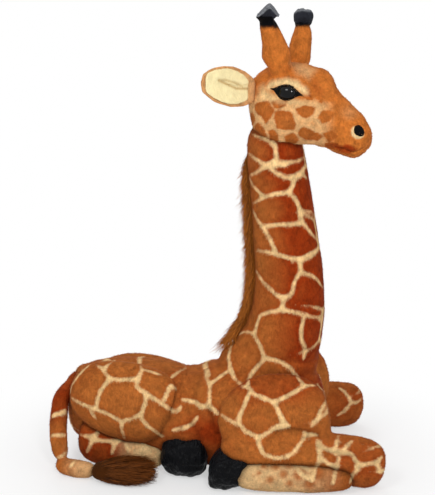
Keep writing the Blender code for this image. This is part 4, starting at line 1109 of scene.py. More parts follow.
class GIRAFFE_OT_hind_legs(bpy.types.Operator):
    """Haunches and folded shanks"""

    bl_idname = "giraffe.hind_legs"
    bl_label = "Hind Legs"

    def execute(self, context):
        parts = {
            "haunch": (HAUNCH_LINES, hip_flip(0.0, 0.014, 0.033), (0.35, 0.0, -1.0)),
            "shank": (SHANK_LINES, hip_flip(0.022), (1.0, 0.0, -0.1)),
        }
        for part, (paths, flip, flow) in parts.items():
            marks = []
            for side_name in SIDES:
                name = f"{side_name}_{part}"
                ob = stuffed_skin(name + "_coat", [name], settings().skin_cell, puff=0.0010, rounds=16)
                crumple(ob.data, strength=0.0010, size=0.028, seed=2 + len(name))
                marks = mirrored(marks, flip) if marks else points_on_skin(ob.data, paths)
                co = points_of(ob.data)
                if part == "haunch":
                    cream, deep = 0.0, 0.30 * step_between(0.080, 0.030, co[:, 2])
                else:
                    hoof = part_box(f"{side_name}_hind_hoof")[0].x
                    cream, deep = 0.9 * step_between(0.078, 0.030, hoof - co[:, 0]), 0.72
                dress_coat(ob, away=line_distance(co, marks), cream=cream, spots=0.35, deep=deep)
                hand_in(ob, "body", [name])
                lay_nap(ob, flow)
        return {"FINISHED"}


class GIRAFFE_OT_forelegs(bpy.types.Operator):
    """Upper forelegs in one coat each, and the cannons folded back under them"""

    bl_idname = "giraffe.forelegs"
    bl_label = "Forelegs"

    def execute(self, context):
        cell = settings().skin_cell
        roots = {"right": Matrix.Translation(RIGHT_SHOULDER),
                 "left": Matrix.Translation(LEFT_SHOULDER) @ Matrix.Rotation(LEFT_SPLAY, 4, "Z")}
        flip = shoulder_flip()
        for side_name, side in SIDES.items():
            root = roots[side_name]
            ahead = np.array(root.to_3x3() @ Vector((1, 0, 0)))
            nodes = [f"{side_name}_shoulder", f"{side_name}_forearm"]
            ob = stuffed_skin(f"{side_name}_foreleg_coat", nodes, cell, puff=0.0013, rounds=18)
            crumple(ob.data, strength=0.0012, size=0.030, seed=5 + side)
            painted_fold_shade = 0.0
            if side_name == "right":
                painted_fold_shade = knee_folds(ob.data)
                upper = points_on_skin(ob.data, SHOULDER_LINES + FOREARM_LINES + KNEE_LINES)
                upper += points_from_front(ob.data, FORELEG_FRONT_LINES)
            else:
                upper = mirrored(upper, flip) + points_on_skin(ob.data, FAR_KNEE_LINES)
            co = points_of(ob.data)
            local = (co - np.array(root.translation)) @ ahead
            deep = 0.55 * step_between(0.115, 0.150, co[:, 2])
            deep += 0.45 * step_between(0.06, 0.11, local) * step_between(0.09, 0.06, co[:, 2])
            dress_coat(ob, away=line_distance(co, upper), deep=np.clip(deep, 0, 1), seam=painted_fold_shade)
            hand_in(ob, "body", nodes)
            out = step_between(0.02, 0.07, local)[:, None]
            lay_nap(ob, ahead * out + np.array([0, 0, -1.0]) * (1.05 - out))

            name = f"{side_name}_cannon"
            ob = stuffed_skin(name + "_coat", [name], cell, puff=0.0013, rounds=14)
            co = points_of(ob.data)
            local = (co - np.array(root.translation)) @ ahead
            end = local.min()
            co -= ahead * (0.024 * step_between(end + 0.040, end, local))[:, None]
            move_points(ob.data, above_floor(co))
            crumple(ob.data, strength=0.0010, size=0.024, seed=9 + side)
            co = points_of(ob.data)
            if side_name == "right":
                lower = points_on_skin(ob.data, KNEE_LINES + CANNON_LINES)
                u, v, _ = seen_at(co)
            else:
                lower = mirrored(lower, flip)
                u, v, _ = seen_at(placed(co, flip.inverted()))
            spot = np.zeros(len(co))
            for at_u, at_v, radius in CANNON_SPOTS:
                spot = np.maximum(spot, np.exp(-(((u - at_u) ** 2 + (v - at_v) ** 2) / radius ** 2) ** 1.5))
            cream = 0.74 * step_between(0.140, 0.052, local - end) * (1 - 0.85 * spot)
            dress_coat(ob, away=line_distance(co, lower), cream=cream, deep=0.20, spots=0.25)
            hand_in(ob, "body", [name])
            lay_nap(ob, -ahead)
        return {"FINISHED"}


def knee_folds(mesh):
    """Folds that the bend of the knee leaves in the coat. Gives the painted shade of each point in them."""
    co, nor = points_of(mesh), normals_of(mesh)
    painted_fold_shade = np.zeros(len(co))
    for path, depth, width in KNEE_FOLDS:
        near = distance_to(co, points_on_skin(mesh, [path]))
        co = raised(co, nor, near, -depth, width)
        painted_fold_shade = np.maximum(painted_fold_shade, depth / 0.0050 * close_to(near, width))
    move_points(mesh, co)
    return painted_fold_shade


class GIRAFFE_OT_hooves(bpy.types.Operator):
    """Black satin hooves"""

    bl_idname = "giraffe.hooves"
    bl_label = "Hooves"

    def execute(self, context):
        finish = pile_material("hoof_satin", tuple(settings().dark_colour), 0.0042, 1.6, bump=1.0, sheen=0.02,
                               sheen_tint=(0.5, 0.6, 0.75), specular=0.07)
        tree = finish.node_tree
        gleam = add(tree, "ShaderNodeTexNoise", Scale=260.0, Detail=2.0).outputs["Fac"]
        roughness = tree.nodes["Principled BSDF"].inputs["Roughness"]
        tree.links.new(maths(tree, "MULTIPLY", gleam, 0.75), roughness)
        for leg, lean in (("hind", 0.05), ("fore", 0.22)):
            for side_name in SIDES:
                name = f"{side_name}_{leg}_hoof"
                ob = stuffed_skin(name + "_satin", [name], cell=0.0020, puff=0.0016, rounds=10)
                co = points_of(ob.data)
                low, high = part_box(name)
                co[:, 0] += (co[:, 2] - (low.z + high.z) / 2) * lean
                if leg == "hind":
                    co[:, 2] += 0.008 * step_between(high.z * 0.45, high.z, co[:, 2])
                move_points(ob.data, co)
                crumple(ob.data, strength=0.0024, size=0.016, seed=9 + len(name))
                crumple(ob.data, strength=0.0012, size=0.007, seed=3 + len(name))
                finish_with(ob.data, finish)
                hand_in(ob, "body", [name])
        return {"FINISHED"}


class GIRAFFE_OT_head(bpy.types.Operator):
    """Head and horn stalks in one coat, with brows, cheeks, muzzle and mouth"""

    bl_idname = "giraffe.head"
    bl_label = "Head"

    def execute(self, context):
        inner = ["head", "head_stem", "right_eye_washer", "left_eye_washer", "right_ossicone",
                 "left_ossicone", "right_ossicone_tip", "left_ossicone_tip"]
        ob = stuffed_skin("head_coat", inner, cell=0.0019, puff=0.0009, rounds=14)
        mouth = model_face(ob.data)
        co, nor = points_of(ob.data), normals_of(ob.data)
        local = placed(co, turn_to_head())
        flip = head_flip()
        right = (local[:, 1] < 0)[:, None]
        u, v, _ = seen_at(np.where(right, co, placed(co, flip)))
        seen = -np.where(right, nor, placed(nor, flip.to_3x3())) @ np.array(ray_through(290, 105))
        seen = step_between(-0.10, 0.20, seen)
        wave = unevenness(co, 0.010) * 1.3
        inside, tan_share = np.full(len(co), -99.0), np.ones(len(co))
        for share, corners in CHEEK_PATCHES:
            depth = inside_shape(u, v, corners)
            tan_share = np.where(depth > inside, share, tan_share)
            inside = np.maximum(inside, depth)
        away = settings().line_width / 2 + (inside + wave + 0.7) * FACE_PIXEL
        beyond = np.maximum(step_between(3.0, 12.0, -inside), 1.0 - seen)
        face = np.clip(np.maximum(tan_share * 0.8, beyond), 0, 1)
        cheek = 0.38 + 0.62 * np.maximum(beyond, step_between(318, 338, u))

        def shape(corners, soft=2.5):
            return seen * step_between(-soft, soft, inside_shape(u, v, corners) + wave)

        brow = np.maximum(shape(PALE_BROW, 3.8), 0.62 * shape(PALE_TEMPLE, 4.0))
        ring_u, ring_v = u - NOSTRIL_RING[0], v - NOSTRIL_RING[1]
        ring = seen * step_between(7.9, 6.3, np.hypot(ring_u, ring_v))
        ring *= step_between(6.0, -1.0, ring_u - ring_v)
        cream = 0.95 * brow + 0.45 * shape(PALE_UNDER_EYE) + 0.40 * shape(PALE_FOREHEAD, 5.0) + 0.95 * ring
        # a painted highlight on the snout's bridge lightens it towards cream
        cream = np.clip(cream + 0.18 * soft_spot(u, v, SNOUT_PAINTED_HIGHLIGHT), 0, 1)
        # painted shade at the mouth, the jaw, the eye's corner, the nose's side and the muzzle deepens the
        # patch colour and takes the tan away
        mouth_shade = np.maximum(shape(LIPS_PAINTED_SHADE, 2.2), 0.5 * shape(JAW_PAINTED_SHADE, 3.0))
        side_shade = np.maximum(shape(EYE_CORNER_PAINTED_SHADE, 3.0), 0.85 * shape(NOSE_SIDE_PAINTED_SHADE, 5.0))
        muzzle_shade = seen * soft_spot(u, v, MUZZLE_PAINTED_SHADE)
        horns = step_between(0.094, 0.104, local[:, 2])
        dark = sum(shape_horn(co, side_name) for side_name in SIDES)
        move_points(ob.data, co)
        streak = unevenness(co / (0.006, 0.006, 0.03), 1.0)
        deep = 0.05 + 0.85 * mouth_shade + 0.6 * side_shade + 0.50 * muzzle_shade + horns * (0.16 + 0.5 * streak)
        face = face - 0.75 * mouth_shade - 0.6 * side_shade - 0.45 * muzzle_shade - 0.42 * horns
        away = np.where(mouth_shade + side_shade > 0.3, 0.05, away)
        # painted shade along the mouth's fold
        mouth_crease_shade = 0.75 * close_to(distance_to(co, mouth), 0.0017)
        dress_coat(ob, away=away, face=np.clip(face, 0, 1), cheek=cheek, cream=cream,
                   deep=np.clip(deep, 0, 1), dark=np.clip(dark, 0, 1), seam=mouth_crease_shade)
        hand_in(ob, "head", ["head", "right_ossicone", "left_ossicone"])
        back = (turn_to_head().inverted().to_3x3() @ Vector((-1.0, 0.0, -0.45))).normalized()
        horn = horns[:, None]
        lay_nap(ob, np.array(back) * (1 - horn) + np.array([0.0, 0.0, 1.0]) * horn, 0.0032)
        return {"FINISHED"}


def model_face(mesh):
    """Forms the face, with the photographed snout and jaw. Gives points of the mouth's fold."""
    co, nor = points_of(mesh), normals_of(mesh)
    paths = {}
    for name, (line, height, width) in FACE_RELIEF.items():
        found = points_on_skin(mesh, [line])
        paths[name] = found + mirrored(found, head_flip())
        co = raised(co, nor, distance_to(co, paths[name]), height, width)
    co = fit_outline(co, SNOUT_OUTLINE, lambda u: step_between(316, 326, u))
    co = fit_outline(co, JAW_OUTLINE, lambda u: step_between(247, 254, u) * step_between(324, 314, u))
    move_points(mesh, co)
    crumple(mesh, strength=0.0010, size=0.018, seed=4)
    return paths["mouth"]


def shape_horn(co, side_name):
    """Moves the points of one horn stalk to the photographed form. Gives how black each point is."""
    low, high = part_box(side_name + "_ossicone_tip")
    stalk = points_of(joined_solid(side_name + "_ossicone"))
    top = stalk[stalk[:, 2] > stalk[:, 2].max() - 0.012].mean(axis=0)
    base = stalk[stalk[:, 2] < stalk[:, 2].min() + 0.025].mean(axis=0)
    axis = (top - base) / np.linalg.norm(top - base)
    rise = (co - base) @ axis
    out = co - base - rise[:, None] * axis
    away_from = np.linalg.norm(out, axis=1)
    on_horn = step_between(0.030, 0.022, away_from) * step_between(0.002, 0.022, rise)
    stout = on_horn * (0.0020 + 0.0012 * step_between(0.075, 0.030, rise))
    co += out / (away_from[:, None] + 1e-6) * stout[:, None]
    front, back = step_between(0.0, 0.010, out[:, 0]), step_between(0.0, -0.010, out[:, 0])
    middle = np.array((low + high) / 2)
    if side_name == "left":
        reach = 0.004
        middle = middle + np.array([FAR_HORN_LEAN, 0, 0])
        co[:, 0] += on_horn * FAR_HORN_LEAN * np.clip(rise / 0.085, 0, 1.2)
        back = back * step_between(0.008, 0.028, rise) * step_between(0.085, 0.060, rise)
        co[:, 0] += on_horn * back * 0.0042
    else:
        reach = 0.015
        hollow = 0.0065 * step_between(0.020, 0.070, rise) + 0.002 - 0.0035 * step_between(0.070, 0.090, rise)
        swell = 0.0038 * step_between(0.036, 0.012, rise) + 0.0036 * step_between(0.050, 0.075, rise)
        co[:, 0] -= on_horn * front * hollow
        co[:, 0] -= on_horn * back * swell
    tipped = on_horn * step_between(low.z + 0.002, low.z + 0.008, co[:, 2])
    co += (middle - co) * (tipped * 0.30)[:, None]
    co[:, 2] -= (on_horn > 0.1) * np.maximum(co[:, 2] - low.z - 0.004, 0)
    ragged = unevenness(co, 0.005) * 0.002
    return on_horn * step_between(low.z - reach, low.z - reach + 0.007, co[:, 2] + ragged)


def turn_to_head():
    """From the row frame to the head's: +X along the nose, +Y to its left, +Z up."""
    yaw = Matrix.Translation(HEAD_AT) @ Matrix.Rotation(HEAD_YAW, 4, "Z")
    middle = Matrix.Translation((0.0, 0.0, HEAD_MIDDLE_RISE))
    tilt = middle @ Matrix.Rotation(HEAD_TILT, 4, "X") @ middle.inverted()
    return (yaw @ tilt).inverted()


def head_flip():
    """From one side of the head to the other."""
    return turn_to_head().inverted() @ FLIP @ turn_to_head()


class GIRAFFE_OT_horn_tips(bpy.types.Operator):
    """Charcoal tips of the horns, with a paler grey crown"""

    bl_idname = "giraffe.horn_tips"
    bl_label = "Horn Tips"

    def execute(self, context):
        finish = pile_material(
            "horn_tip", lambda tree: mix_colour(tree, painted(tree, "crown"), *TIP_COLOURS), 0.0028, 1.3,
            bump=0.8, depth=0.002, sheen=0.0, specular=0.2)
        for side_name, side in SIDES.items():
            name = side_name + "_ossicone_tip"
            ob = stuffed_skin(name + "_pile", [name], cell=0.0014, puff=0.0020, rounds=8)
            co = points_of(ob.data)
            low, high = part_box(name)
            if side > 0:
                co[:, 0] += FAR_HORN_LEAN
                u, v, depth = seen_at(co)
                co[:, 0] += ((u.min() + u.max()) / 2 - u) * FAR_TIP_NARROWING * depth / FOCAL_PIXELS
            # the crown is cut along the photographed outline and slants towards the camera
            u, v, depth = seen_at(co)
            columns, rows = TIP_CROWNS[side]
            front = np.clip(((low.y + high.y) / 2 - co[:, 1]) / 0.012, -1, 1)
            above = np.interp(u, columns, rows) + (1 + front) * (2.6 if side < 0 else 1.6) - v
            co[:, 2] -= np.maximum(above, 0.0) * depth / FOCAL_PIXELS
            pleat = unevenness(co / (0.0035, 0.0035, 0.02), 1.0)
            co[:, 2] += pleat * 0.0020 * step_between(-2.0, 1.0, above)
            move_points(ob.data, co)
            ob.modifiers.new("Rounding", "SMOOTH").iterations = 3
            applied(ob)
            crumple(ob.data, strength=0.0012, size=0.007, seed=12 + side)
            put_values(ob.data, "crown", np.clip(step_between(-1.5, 1.5, above) * (0.55 + 0.6 * pleat), 0, 1))
            finish_with(ob.data, finish)
            hand_in(ob, "head", [name])
        return {"FINISHED"}


class GIRAFFE_OT_ears(bpy.types.Operator):
    """Cupped ears with rolled rims, and cream linings sewn into a pocket fold"""

    bl_idname = "giraffe.ears"
    bl_label = "Ears"

    def execute(self, context):
        cream_pile = pile_material(
            "ear_lining", lambda tree: mix_colour(tree, painted(tree, "fold"), *LINING_COLOURS), 0.0024, 0.22,
            bump=0.4, depth=0.002, sheen=0.0, specular=0.06)
        for side_name, side in SIDES.items():
            name = side_name + "_ear"
            out = ear_frame(side)
            ob = stuffed_skin(name + "_coat", [name], cell=0.0014, puff=0.0002, rounds=10)
            flat = placed(points_of(ob.data), out.inverted())
            edge = leaf_edge(flat)
            # the rim rolls over towards the lining
            roll = step_between(0.78, 0.98, edge) * (flat[:, 1] * -side > -0.002)
            flat[:, 1] -= side * roll * 0.0030
            move_points(ob.data, placed(flat, out))
            crumple(ob.data, strength=0.0008, size=0.014, seed=20 + side)
            rim = step_between(0.70, 1.0, edge)
            inner = step_between(-0.004, 0.002, flat[:, 1] * -side)
            cream = np.clip(0.12 + inner * (0.38 - 0.25 * rim), 0, 1)
            dress_coat(ob, face=0.85, cheek=1.0, cream=cream, deep=0.4 * rim)
            hand_in(ob, name, [name])

            lining = stuffed_skin(name + "_lining_pile", [name + "_lining"], cell=0.0010, puff=0.0007,
                                  rounds=8)
            flat = placed(points_of(lining.data), out.inverted())
            flat[:, 0] += np.maximum(flat[:, 0] - 0.045, 0.0) * 0.07
            flat[:, 2] = 0.004 + (flat[:, 2] - 0.004) * 1.09
            plane = flat * np.array([1.0, 0.0, 1.0])
            slit, upper, lip = [distance_to(plane, extra_points(line))
                                for line in (LINING_SLIT, LINING_UPPER, LINING_LIP)]
            near = np.minimum(slit, upper + 0.0006)
            swell = 0.0022 * close_to(lip, 0.0060) - 0.0026 * close_to(near, 0.0022)
            swell += 0.0012 * np.exp(-((plane - np.array([0.045, 0, -0.012])) ** 2).sum(axis=1) / 0.010 ** 2)
            facing = flat[:, 1] * -side
            flat[:, 1] -= side * np.where(facing > np.median(facing), swell, 0.0)
            move_points(lining.data, placed(flat, out))
            crumple(lining.data, strength=0.0007, size=0.009, seed=24 + side)
            # painted shade in the pocket's slit and along the lining's edge under the rolled rim
            fold = 0.9 * close_to(near, 0.0018)
            fold += 0.25 * step_between(0.85, 1.05, leaf_edge(flat) * 1.12)
            put_values(lining.data, "fold", np.clip(fold, 0, 1))
            finish_with(lining.data, cream_pile)
            hand_in(lining, name, [name + "_lining"])
        return {"FINISHED"}


def ear_frame(side):
    """From the ear's own coordinates, +X out along it and +Z up across it, to the row frame."""
    root = Matrix.Translation((EAR_ROOT.x, side * EAR_ROOT.y, EAR_ROOT.z))
    return turn_to_head().inverted() @ root @ Matrix.Rotation(side * EAR_YAW, 4, "Z")


def leaf_edge(flat):
    """0 along the middle of the ear's leaf, 1 at its edge."""
    along = flat[:, 0] / EAR_LENGTH
    wide = np.interp(along, LEAF_PLACES, LEAF_WIDTHS) * EAR_HALF_WIDTH
    across = np.abs(flat[:, 2] - along * EAR_TIP_LIFT) / wide
    return np.maximum(across, np.clip((along - 0.62) / 0.40, 0, 1.2))


class GIRAFFE_OT_eyes(bpy.types.Operator):
    """Glossy eyes in felt almonds, and felt nostrils, laid on the face"""

    bl_idname = "giraffe.eyes"
    bl_label = "Eyes and Nostrils"

    def execute(self, context):
        gloss = plain_material("eye_gloss", (0.0008, 0.0007, 0.0007), 0.045, specular=0.20)
        felt = pile_material("black_felt", (0.0045, 0.0045, 0.0045), 0.0012, 0.6, bump=0.5)
        tree = skin_tree(bpy.data.objects["head_coat"].data)
        for side_name, side in SIDES.items():
            # the plane of each piece: +X to the nose, +Y up, +Z out of the face
            eye_at = face_frame(side, *EYE_SEAT)
            liner = patch_on(f"{side_name}_eye_felt", tree, eye_at, LID_OUTLINE, 0.0010, felt)
            place_piece(liner, "head", f"{side_name}_eye_liner")
            dome = bpy.data.meshes.new(f"{side_name}_eye_dome")
            bm = bmesh.new()
            bmesh.ops.create_uvsphere(bm, u_segments=48, v_segments=32, radius=1.0)
            bm.to_mesh(dome)
            bm.free()
            hit = tree.ray_cast(eye_at @ Vector((0, 0, 0.02)), eye_at.to_3x3() @ Vector((0, 0, -1)))[0]
            seat = (eye_at.inverted() @ hit).z
            dome.transform(eye_at @ Matrix.Translation((-0.0002, 0.0000, seat - 0.0006))
                           @ Matrix.Diagonal((*EYE_HALF_SIZES, 1.0)))
            dome.shade_smooth()
            dome.materials.append(gloss)
            ob = new_object(f"{side_name}_eye_dome", dome)
            place_piece(ob, "head", f"{side_name}_eye")
            nose_at = face_frame(side, *NOSTRIL_SEAT)
            pad = patch_on(f"{side_name}_nostril_felt", tree, nose_at, drop_outline(), 0.0012, felt)
            place_piece(pad, "head", f"{side_name}_nostril")
        return {"FINISHED"}


def drop_outline(count=20):
    """Outline of the drop-shaped nostril pad."""
    drop = []
    for i in range(count):
        t = 2 * math.pi * i / count
        point = 0.0028 * max(0.0, math.cos(t + 0.7)) ** 3
        drop.append(((0.0066 + point) * math.cos(t), (0.0072 + point) * math.sin(t)))
    return drop


def face_frame(side, seat, toe):
    """A plane on the face, as its seats in the solids lie. toe turns it towards the nose, in degrees."""
    at = Matrix.Translation((seat[0], side * seat[1], seat[2]))
    turn = Matrix.Rotation(math.radians(-side * toe), 4, "Z")
    stand = Matrix.Rotation(math.radians(-side * 90.0), 4, "X")
    out = turn_to_head().inverted() @ at @ turn @ stand
    return out @ FLIP if side > 0 else out


def place_piece(ob, body, node):
    """Attaches a hard or flat piece to what it rides on, and hides the solid it stands for."""
    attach(ob, body)
    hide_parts(node)


def patch_on(name, tree, frame_at, outline, thickness, finish):
    """A felt shape of this outline, in its plane's coordinates, laid on the skin and given thickness."""
    inward = frame_at.to_3x3() @ Vector((0, 0, -1))
    inward.normalize()
    centre = np.mean(np.array(outline), axis=0)
    rings, count = 7, 60
    loop = []
    closed = outline + outline[:1]
    lengths = [0.0]
    for (x0, y0), (x1, y1) in zip(closed, closed[1:]):
        lengths.append(lengths[-1] + math.hypot(x1 - x0, y1 - y0))
    for i in range(count):
        d = lengths[-1] * i / count
        loop.append([np.interp(d, lengths, [q[axis] for q in closed]) for axis in range(2)])
    bm = bmesh.new()

    def laid(x, y, up):
        at = frame_at @ Vector((x, y, 0.02))
        hit = tree.ray_cast(at, inward)[0]
        if hit is None:
            hit = frame_at @ Vector((x, y, 0.0))
        return bm.verts.new(hit - inward * up)

    top = []
    for r in range(rings):
        share = (r + 1) / rings
        rise = thickness * math.sqrt(max(0.0, 1 - share ** 4)) + 0.0002
        top.append([laid(centre[0] + (x - centre[0]) * share, centre[1] + (y - centre[1]) * share, rise)
                    for x, y in loop])
    middle = laid(centre[0], centre[1], thickness + 0.0002)
    under = [laid(x, y, -0.0010) for x, y in loop]
    for i in range(count):
        j = (i + 1) % count
        bm.faces.new((middle, top[0][i], top[0][j]))
        for a, b in zip(top, top[1:]):
            bm.faces.new((a[i], b[i], b[j], a[j]))
        bm.faces.new((top[-1][i], under[i], under[j], top[-1][j]))
    bm.faces.new(under)
    bmesh.ops.recalc_face_normals(bm, faces=bm.faces[:])
    mesh = bpy.data.meshes.new(name)
    bm.to_mesh(mesh)
    bm.free()
    mesh.shade_smooth()
    mesh.materials.append(finish)
    return new_object(name, mesh)


def strands(name, roots, spread, seed, width):
    """Long pile as tapered strips. Each root is (point, tip, outward)."""
    rng = np.random.default_rng(seed)
    verts, faces, tone, along = [], [], [], []
    for point, tip, outward in roots:
        lean = tip - point
        across = lean.cross(outward)
        if across.length < 1e-9:
            continue
        across = across.normalized()
        twist = rng.uniform(-0.9, 0.9)
        across = (across + outward.normalized() * twist).normalized()
        shade = rng.uniform(0.0, 1.0)
        bend = Vector(rng.normal(0.0, spread, 3))
        first = len(verts)
        for i in range(4):
            t = i / 3
            at = point + lean * t + outward * (4 * t * (1 - t)) + bend * (t * t)
            half = width * (1 - 0.85 * t) / 2
            verts += [at - across * half, at + across * half]
            tone += [shade, shade]
            along += [t, t]
        for i in range(3):
            a = first + 2 * i
            faces.append((a, a + 1, a + 3, a + 2))
    mesh = bpy.data.meshes.new(name)
    mesh.from_pydata(verts, [], faces)
    put_values(mesh, "tone", tone)
    put_values(mesh, "along", along)
    return new_object(name, mesh)


def grow_pile(skin, seed):
    """Short pile on a coat: thin blades that lie along the nap and take the coat's colour at their roots."""
    rng = np.random.default_rng(seed)
    mesh = skin.data
    length = skin["pile_length"]
    flow = np.empty(len(mesh.vertices) * 3, np.float32)
    mesh.attributes["nap"].data.foreach_get("vector", flow)
    mesh.calc_loop_triangles()
    tris = np.empty(len(mesh.loop_triangles) * 3, np.int64)
    mesh.loop_triangles.foreach_get("vertices", tris)
    tris = tris.reshape(-1, 3)
    co, nor = points_of(mesh), normals_of(mesh)
    a, b, c = co[tris[:, 0]], co[tris[:, 1]], co[tris[:, 2]]
    area = np.linalg.norm(np.cross(b - a, c - a), axis=1) / 2
    count = int(area.sum() / AREA_PER_BLADE)
    pick = np.searchsorted(np.cumsum(area), rng.uniform(0, area.sum(), count)).clip(0, len(tris) - 1)
    u, v = rng.uniform(size=(2, count))
    over = u + v > 1
    u[over], v[over] = 1 - u[over], 1 - v[over]
    weights = np.stack([1 - u - v, u, v], axis=1)

    def at_roots(values):
        share = weights if values.ndim == 1 else weights[..., None]
        return (values[tris[pick]] * share).sum(axis=1)

    values = {}
    for name in COAT_VALUES:
        data = np.empty(len(mesh.vertices), np.float32)
        mesh.attributes[name].data.foreach_get("value", data)
        values[name] = at_roots(data)
    root, out = at_roots(co), at_roots(nor)
    out /= np.linalg.norm(out, axis=1)[:, None]
    way = at_roots(flow.reshape(-1, 3).astype(float)) + rng.normal(0, 0.22, (count, 3))
    way = way - out * (way * out).sum(axis=1)[:, None]
    way /= np.linalg.norm(way, axis=1)[:, None] + 1e-9
    blade = way * 0.88 + out * rng.uniform(0.25, 0.60, count)[:, None]
    blade *= (length * rng.uniform(0.65, 1.15, count))[:, None]
    side = np.cross(way, out) * BLADE_HALF_WIDTH
    keep = (root[:, 2] > LOWEST_ROOT) & (values["seam"] < 0.6) & (values["dark"] < 0.5)
    root = root - out * BLADE_SUNK
    tip = above_floor(root + blade)
    corners = np.stack([root - side, root + side, tip], axis=1)[keep]
    left = len(corners)
    pile = bpy.data.meshes.new(skin.name + "_pile")
    pile.vertices.add(left * 3)
    pile.vertices.foreach_set("co", corners.ravel())
    pile.loops.add(left * 3)
    pile.loops.foreach_set("vertex_index", np.arange(left * 3))
    pile.polygons.add(left)
    pile.polygons.foreach_set("loop_start", np.arange(left) * 3)
    pile.update(calc_edges=True)
    for name, data in values.items():
        put_values(pile, name, np.repeat(data[keep], 3))
    shade = rng.uniform(0, 1, left)
    put_values(pile, "tone", np.repeat(shade, 3))
    put_values(pile, "along", np.tile((0.0, 0.0, 1.0), left))
    # each blade has its own small cell of the map
    cells = math.ceil(math.sqrt(left))
    cell = np.stack([np.arange(left) % cells, np.arange(left) // cells], axis=1) / cells
    corner = np.array([(0.12, 0.12), (0.88, 0.12), (0.5, 0.88)]) / cells
    uv = pile.uv_layers.new(name="OFBake")
    uv.data.foreach_set("uv", (cell[:, None, :] + corner[None]).astype(np.float32).ravel())
    pile.shade_smooth()
    pile.normals_split_custom_set_from_vertices(np.repeat(out[keep], 3, axis=0).tolist())
    ob = new_object(skin.name + "_pile", pile)
    pile.materials.append(pile_blades_material())
    return ob


def pile_blades_material():
    """The coat's colour on its own short pile: paler at the tips, each blade a little different."""
    if "coat_pile" in bpy.data.materials:
        return bpy.data.materials["coat_pile"]
    made, tree, shader = new_material("coat_pile", Roughness=0.8, Specular_IOR_Level=0.04, Sheen_Weight=0.02)
    pile = pile_node(tree, settings().pile_size, 0.6)
    tree.links.new(coat_node(tree).outputs["Colour"], pile.inputs["Colour"])
    value = maths(tree, "ADD", maths(tree, "MULTIPLY", painted(tree, "tone"), 0.34),
                  maths(tree, "MULTIPLY", painted(tree, "along"), 0.26))
    value = maths(tree, "ADD", value, 0.74)
    tree.links.new(toned(tree, pile.outputs["Colour"], value), shader.inputs["Base Color"])
    return made


class GIRAFFE_OT_mane(bpy.types.Operator):
    """Long pile down the back of the neck"""

    bl_idname = "giraffe.mane"
    bl_label = "Mane"

    def execute(self, context):
        s = settings()
        core = stuffed_skin("mane_backing", ["mane"], cell=0.0020, puff=-0.0008, rounds=8)
        co = points_of(core.data)
        co[:, 0] += 0.0045 * step_between(-0.002, 0.004, normals_of(core.data)[:, 0] * 0.01)
        move_points(core.data, co)
        # painted shade: the backing under the strands is a darker brown than the mane
        ground = tuple(c * 0.55 for c in s.mane_colour)
        finish_with(core.data, pile_material("mane_ground", ground, 0.002, 0.5))
        tree = skin_tree(core.data)
        low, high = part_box("mane")
        rng = np.random.default_rng(21)
        roots = []
        while len(roots) < s.mane_strands:
            z = low.z + (high.z - low.z) * rng.uniform(0.02, 1.0)
            start = Vector((-0.1, rng.uniform(low.y, high.y), z))
            hit, nor, _, _ = tree.ray_cast(start, Vector((1, 0, 0)))
            if hit is None:
                continue
            foot = float(step_between(0.26, 0.19, z))
            head_end = float(step_between(0.42, 0.50, z))
            length = rng.uniform(0.008, 0.021) * (1.0 + 0.9 * foot - 0.45 * head_end)
            out = rng.uniform(0.12, 0.62) + rng.uniform(0.0, 0.75) * foot
            down = Vector((-out, nor.y * 0.35 + rng.normal(0, 0.12), -0.9)).normalized()
            roots.append((hit - nor * 0.001, hit + down * length, nor * 0.0010))
        ob = strands("mane_strands", roots, spread=0.0024, seed=22, width=0.0012)
        ob.data.materials.append(strand_material("mane_pile", s.mane_colour))
        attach(ob, "neck")
        hand_in(core, "neck", ["mane"])
        return {"FINISHED"}


